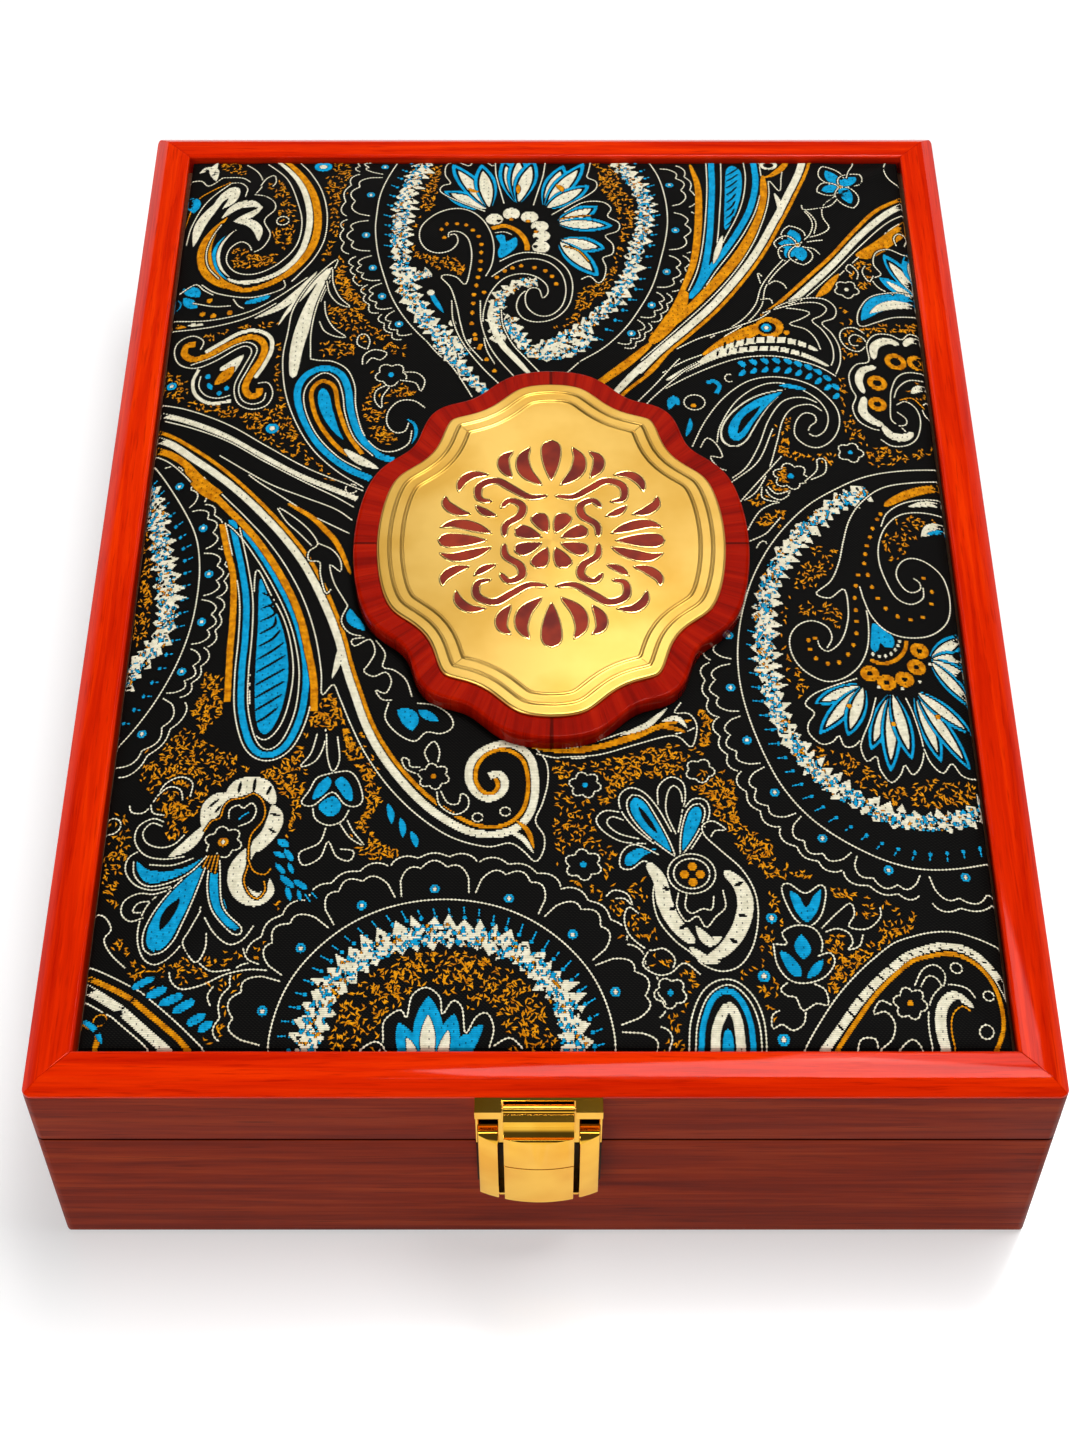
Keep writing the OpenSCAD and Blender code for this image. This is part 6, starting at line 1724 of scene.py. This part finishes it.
joint = add(tree, "ShaderNodeMapRange", {
    "Value": near.outputs[0], "From Min": 0.008, "From Max": 0.022, "To Min": 0.75, "To Max": 0.0})
joined = add(tree, "ShaderNodeMix", {
    0: joint.outputs[0], 6: grained.outputs[2], 7: linear(ROSEWOOD["line"])}, data_type="RGBA")
tree.links.new(joined.outputs[2], shader.inputs["Base Color"])
piece = new_piece("medallion_board", lobed_solid(PLAQUE_EDGE, PLAQUE_TOP), rosewood, "lid")
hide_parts("medallion_plaque")

# Medallion plate: thin brass, brushed round its middle and gilt, pinned on the plaque.
# Two fine lines are raised inside its chamfered edge.
LINE_RISE = 0.35
PLATE_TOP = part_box("medallion_plate")[1].z - LINE_RISE * MM
PLATE_INSET = 5.8
PLATE_EDGE = ((0.0, 1.0), (0.0, 0.4), (0.4, 0.0), (0.6, 0.0))
LINE_SECTION = (
    (-0.6, 0.0), (-0.4, 0.0), (-0.28, -0.22), (0.0, -LINE_RISE), (0.28, -0.22), (0.4, 0.0), (0.6, 0.0))
LINE_PLACES = (3.1, 6.1)
PLATE_BRIGHT = "#EABF64"
PLATE_WORN = "#D9A84A"
PLATE_PATCH = 18 * MM
plate_gold, tree, shader = surface(
    "brushed_gilt", Metallic=1.0, Roughness=0.3, Anisotropic=0.25, Anisotropic_Rotation=0.25)
place = add(tree, "ShaderNodeTexCoord").outputs["Object"]
mottled(tree, shader, place, PLATE_PATCH, 3.0, (0.35, PLATE_WORN), (0.65, PLATE_BRIGHT))
round_middle = add(tree, "ShaderNodeTangent", direction_type="RADIAL", axis="Z")
tree.links.new(round_middle.outputs[0], shader.inputs["Tangent"])
profile = [(PLATE_INSET + inset, depth) for inset, depth in PLATE_EDGE]
for spot in LINE_PLACES:
    profile += [(PLATE_INSET + spot + inset, depth) for inset, depth in LINE_SECTION]
piece = new_piece("medallion_face", lobed_solid(profile, PLATE_TOP), plate_gold, "lid")
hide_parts("medallion_plate")

# Medallion ornament: an arabesque of vines and leaves about an eight-petalled rosette.
# Each stroke is let in with dark red enamel and edged with a fine gilt wire.
ENAMEL_DEEP = "#661203"
ENAMEL_LIT = "#92280A"
WIRE_GOLD = "#F0D184"
ENAMEL_LIFT = 0.06
WIRE_HALF = 0.24
WIRE_LIFT = 0.3
ENAMEL_PATCH = 6 * MM
PETALS = 8
PETAL_WIDTH = 4.2
PETAL_LINE = (9.6, 6.4, 2.4)
STROKES = (
    ("drop", 5.0, "0,33.5 0,27 0,19.5"),
    ("drop", 4.6, "27.5,0 21.5,0 15.5,0"),
    ("leaf", 3.6, "2.2,18 6.2,22.4 7,27.2 5.2,31"),
    ("leaf", 3.3, "14.4,2.2 19,4.4 23.4,5.4 27,4.2"),
    ("band", 2.2, "0.9,14.6 5.4,14.2 9.6,17 13.6,19.6 17.6,17.8 17.6,13.6 14.4,12.6"),
    ("band", 2.1, "11.4,0.9 11,5 7.6,8 7.2,11.4 10.2,13 12.4,10.4"),
    ("leaf", 3.0, "9.6,20.4 11.6,24 11.6,27.4 9.4,29.6"),
    ("leaf", 2.8, "19.6,8.4 23,9.4 25.6,11.8 26,14.6"),
    ("leaf", 2.6, "15.4,21.6 19.4,21.6 22,19.2 22.8,15.8"),
    ("leaf", 2.2, "13.2,7.8 16,9 18.6,11.4"),
)
enamel, tree, shader = surface("red_enamel", Roughness=0.3, Specular_IOR_Level=0.2)
place = add(tree, "ShaderNodeTexCoord").outputs["Object"]
mottled(tree, shader, place, ENAMEL_PATCH, 2.0, (0.35, ENAMEL_DEEP), (0.65, ENAMEL_LIT))
wire, tree, shader = surface("gilt_wire", Metallic=1.0, Roughness=0.22, Base_Color=linear(WIRE_GOLD))


def let_in(fills, wires, form, width, points, flip):
    """One enamelled stroke and the wire round it, mirrored by a pair of signs."""
    left, right = edges_of(*swelled(form, width, points))
    order = flip[0] * flip[1]

    def set_on(bm, side, lift):
        """The vertices of one side, at a lift over the plate."""
        return [bm.verts.new((
            (LOBE_CENTRE[0] + x * flip[0]) * MM, (LOBE_CENTRE[1] + y * flip[1]) * MM,
            PLATE_TOP + lift * MM)) for x, y in side]

    a, b = [set_on(fills, side, ENAMEL_LIFT) for side in (left, right)]
    for k in range(len(left) - 1):
        fills.faces.new((a[k], b[k], b[k + 1], a[k + 1])[::order])
    outline = left + right[-2:0:-1]
    outer, inner = edges_of(outline, [WIRE_HALF] * len(outline), True)
    loops = [
        set_on(wires, side, lift) for side, lift in ((outer, 0.0), (outline, WIRE_LIFT), (inner, 0.0))]
    for a, b in zip(loops, loops[1:]):
        for k in range(len(outline)):
            j = (k + 1) % len(outline)
            wires.faces.new((a[k], b[k], b[j], a[j])[::order])


fills = bmesh.new()
wires = bmesh.new()
for form, width, path in STROKES:
    points = drawn(path)
    flips = {(sx if points[1][0] else 1, sy if points[1][1] else 1) for sx in (1, -1) for sy in (1, -1)}
    for flip in sorted(flips):
        let_in(fills, wires, form, width, points, flip)
for k in range(PETALS):
    turn = 2 * math.pi * (k + 0.5) / PETALS
    points = [(reach * math.cos(turn), reach * math.sin(turn)) for reach in PETAL_LINE]
    let_in(fills, wires, "drop", PETAL_WIDTH, points, (1, 1))
new_piece("medallion_inlay", fills, enamel, "lid")
new_piece("medallion_inlay_wire", wires, wire, "lid")

# Studio: a pale glossy floor, broad soft lamps and the camera at the photograph's own place.
# The surround is a white sweep that fades upwards to a grey ceiling.
FLOOR_SIZE = 6.0
FLOOR_GREY = "#D8D8D8"
FLOOR_GLOW = 0.4
CEILING = 0.08
CAMERA_PLACE = (-0.52 * MM, -408.80 * MM, 525.16 * MM)
CAMERA_TILT = 37.438
CAMERA_LENS = 61.85
CAMERA_SENSOR = 36.0
LAMPS = (
    ("lamp_top", (0.34, 0.2, 1.67), (0.0, 0.0, 0.05), 1.0, 0.5, 25.0),
    ("lamp_back", (0.06, 1.1, 1.33), (0.0, 0.0, 0.05), 0.5, 0.55, 1.25),
    ("lamp_shine", (0.38, 0.62, 1.4), (0.08, -0.15, 0.066), 0.36, 0.2, 1.6),
    ("lamp_fore", (0.0, -0.65, 1.57), (0.0, -0.15, 0.05), 0.5, 0.12, 1.0),
    ("lamp_front", (-1.1, -1.1, 0.8), (0.0, 0.0, 0.05), 0.8, 0.6, 9.0),
)

scene = bpy.context.scene
scene.view_settings.view_transform = "Standard"
bm = bmesh.new()
bmesh.ops.create_grid(bm, x_segments=1, y_segments=1, size=FLOOR_SIZE / 2)
mesh = bpy.data.meshes.new("studio_floor")
bm.to_mesh(mesh)
bm.free()
floor = bpy.data.objects.new("studio_floor", mesh)
scene.collection.objects.link(floor)
made, tree, shader = surface(
    "pale_floor", Roughness=0.22, Specular_IOR_Level=1.0, Base_Color=linear(FLOOR_GREY))
shader.inputs["Emission Color"].default_value = (1.0, 1.0, 1.0, 1.0)
path = add(tree, "ShaderNodeLightPath")
seen = path.outputs["Is Camera Ray"]
for ray in ("Is Glossy Ray", "Is Transmission Ray"):
    seen = add(tree, "ShaderNodeMath", {0: seen, 1: path.outputs[ray]}, operation="MAXIMUM").outputs[0]
glow = add(tree, "ShaderNodeMath", {0: seen, 1: FLOOR_GLOW}, operation="MULTIPLY")
tree.links.new(glow.outputs[0], shader.inputs["Emission Strength"])
mesh.materials.append(made)

for name, spot, aim, width, height, power in LAMPS:
    data = bpy.data.lights.new(name, "AREA")
    data.shape = "RECTANGLE"
    data.size = width
    data.size_y = height
    data.energy = power
    lamp = bpy.data.objects.new(name, data)
    lamp.location = spot
    lamp.rotation_euler = (Vector(aim) - Vector(spot)).to_track_quat("-Z", "Y").to_euler()
    scene.collection.objects.link(lamp)

world = bpy.data.worlds.new("studio")
world.use_nodes = True
tree = world.node_tree
heading = add(tree, "ShaderNodeTexCoord").outputs["Generated"]
height = add(tree, "ShaderNodeSeparateXYZ", {0: heading}).outputs["Z"]
fall = add(tree, "ShaderNodeMapRange", {
    "Value": height, "From Min": 0.1, "From Max": 0.4, "To Min": 1.0, "To Max": CEILING})
fall.interpolation_type = "SMOOTHSTEP"
tree.links.new(fall.outputs[0], tree.nodes["Background"].inputs["Strength"])
tree.nodes["Background"].inputs["Color"].default_value = (1, 1, 1, 1)
scene.world = world

data = bpy.data.cameras.new("camera")
data.lens = CAMERA_LENS
data.sensor_width = CAMERA_SENSOR
camera = bpy.data.objects.new("camera", data)
camera.location = CAMERA_PLACE
camera.rotation_euler = (math.radians(CAMERA_TILT), 0.0, 0.0)
scene.collection.objects.link(camera)
scene.camera = camera
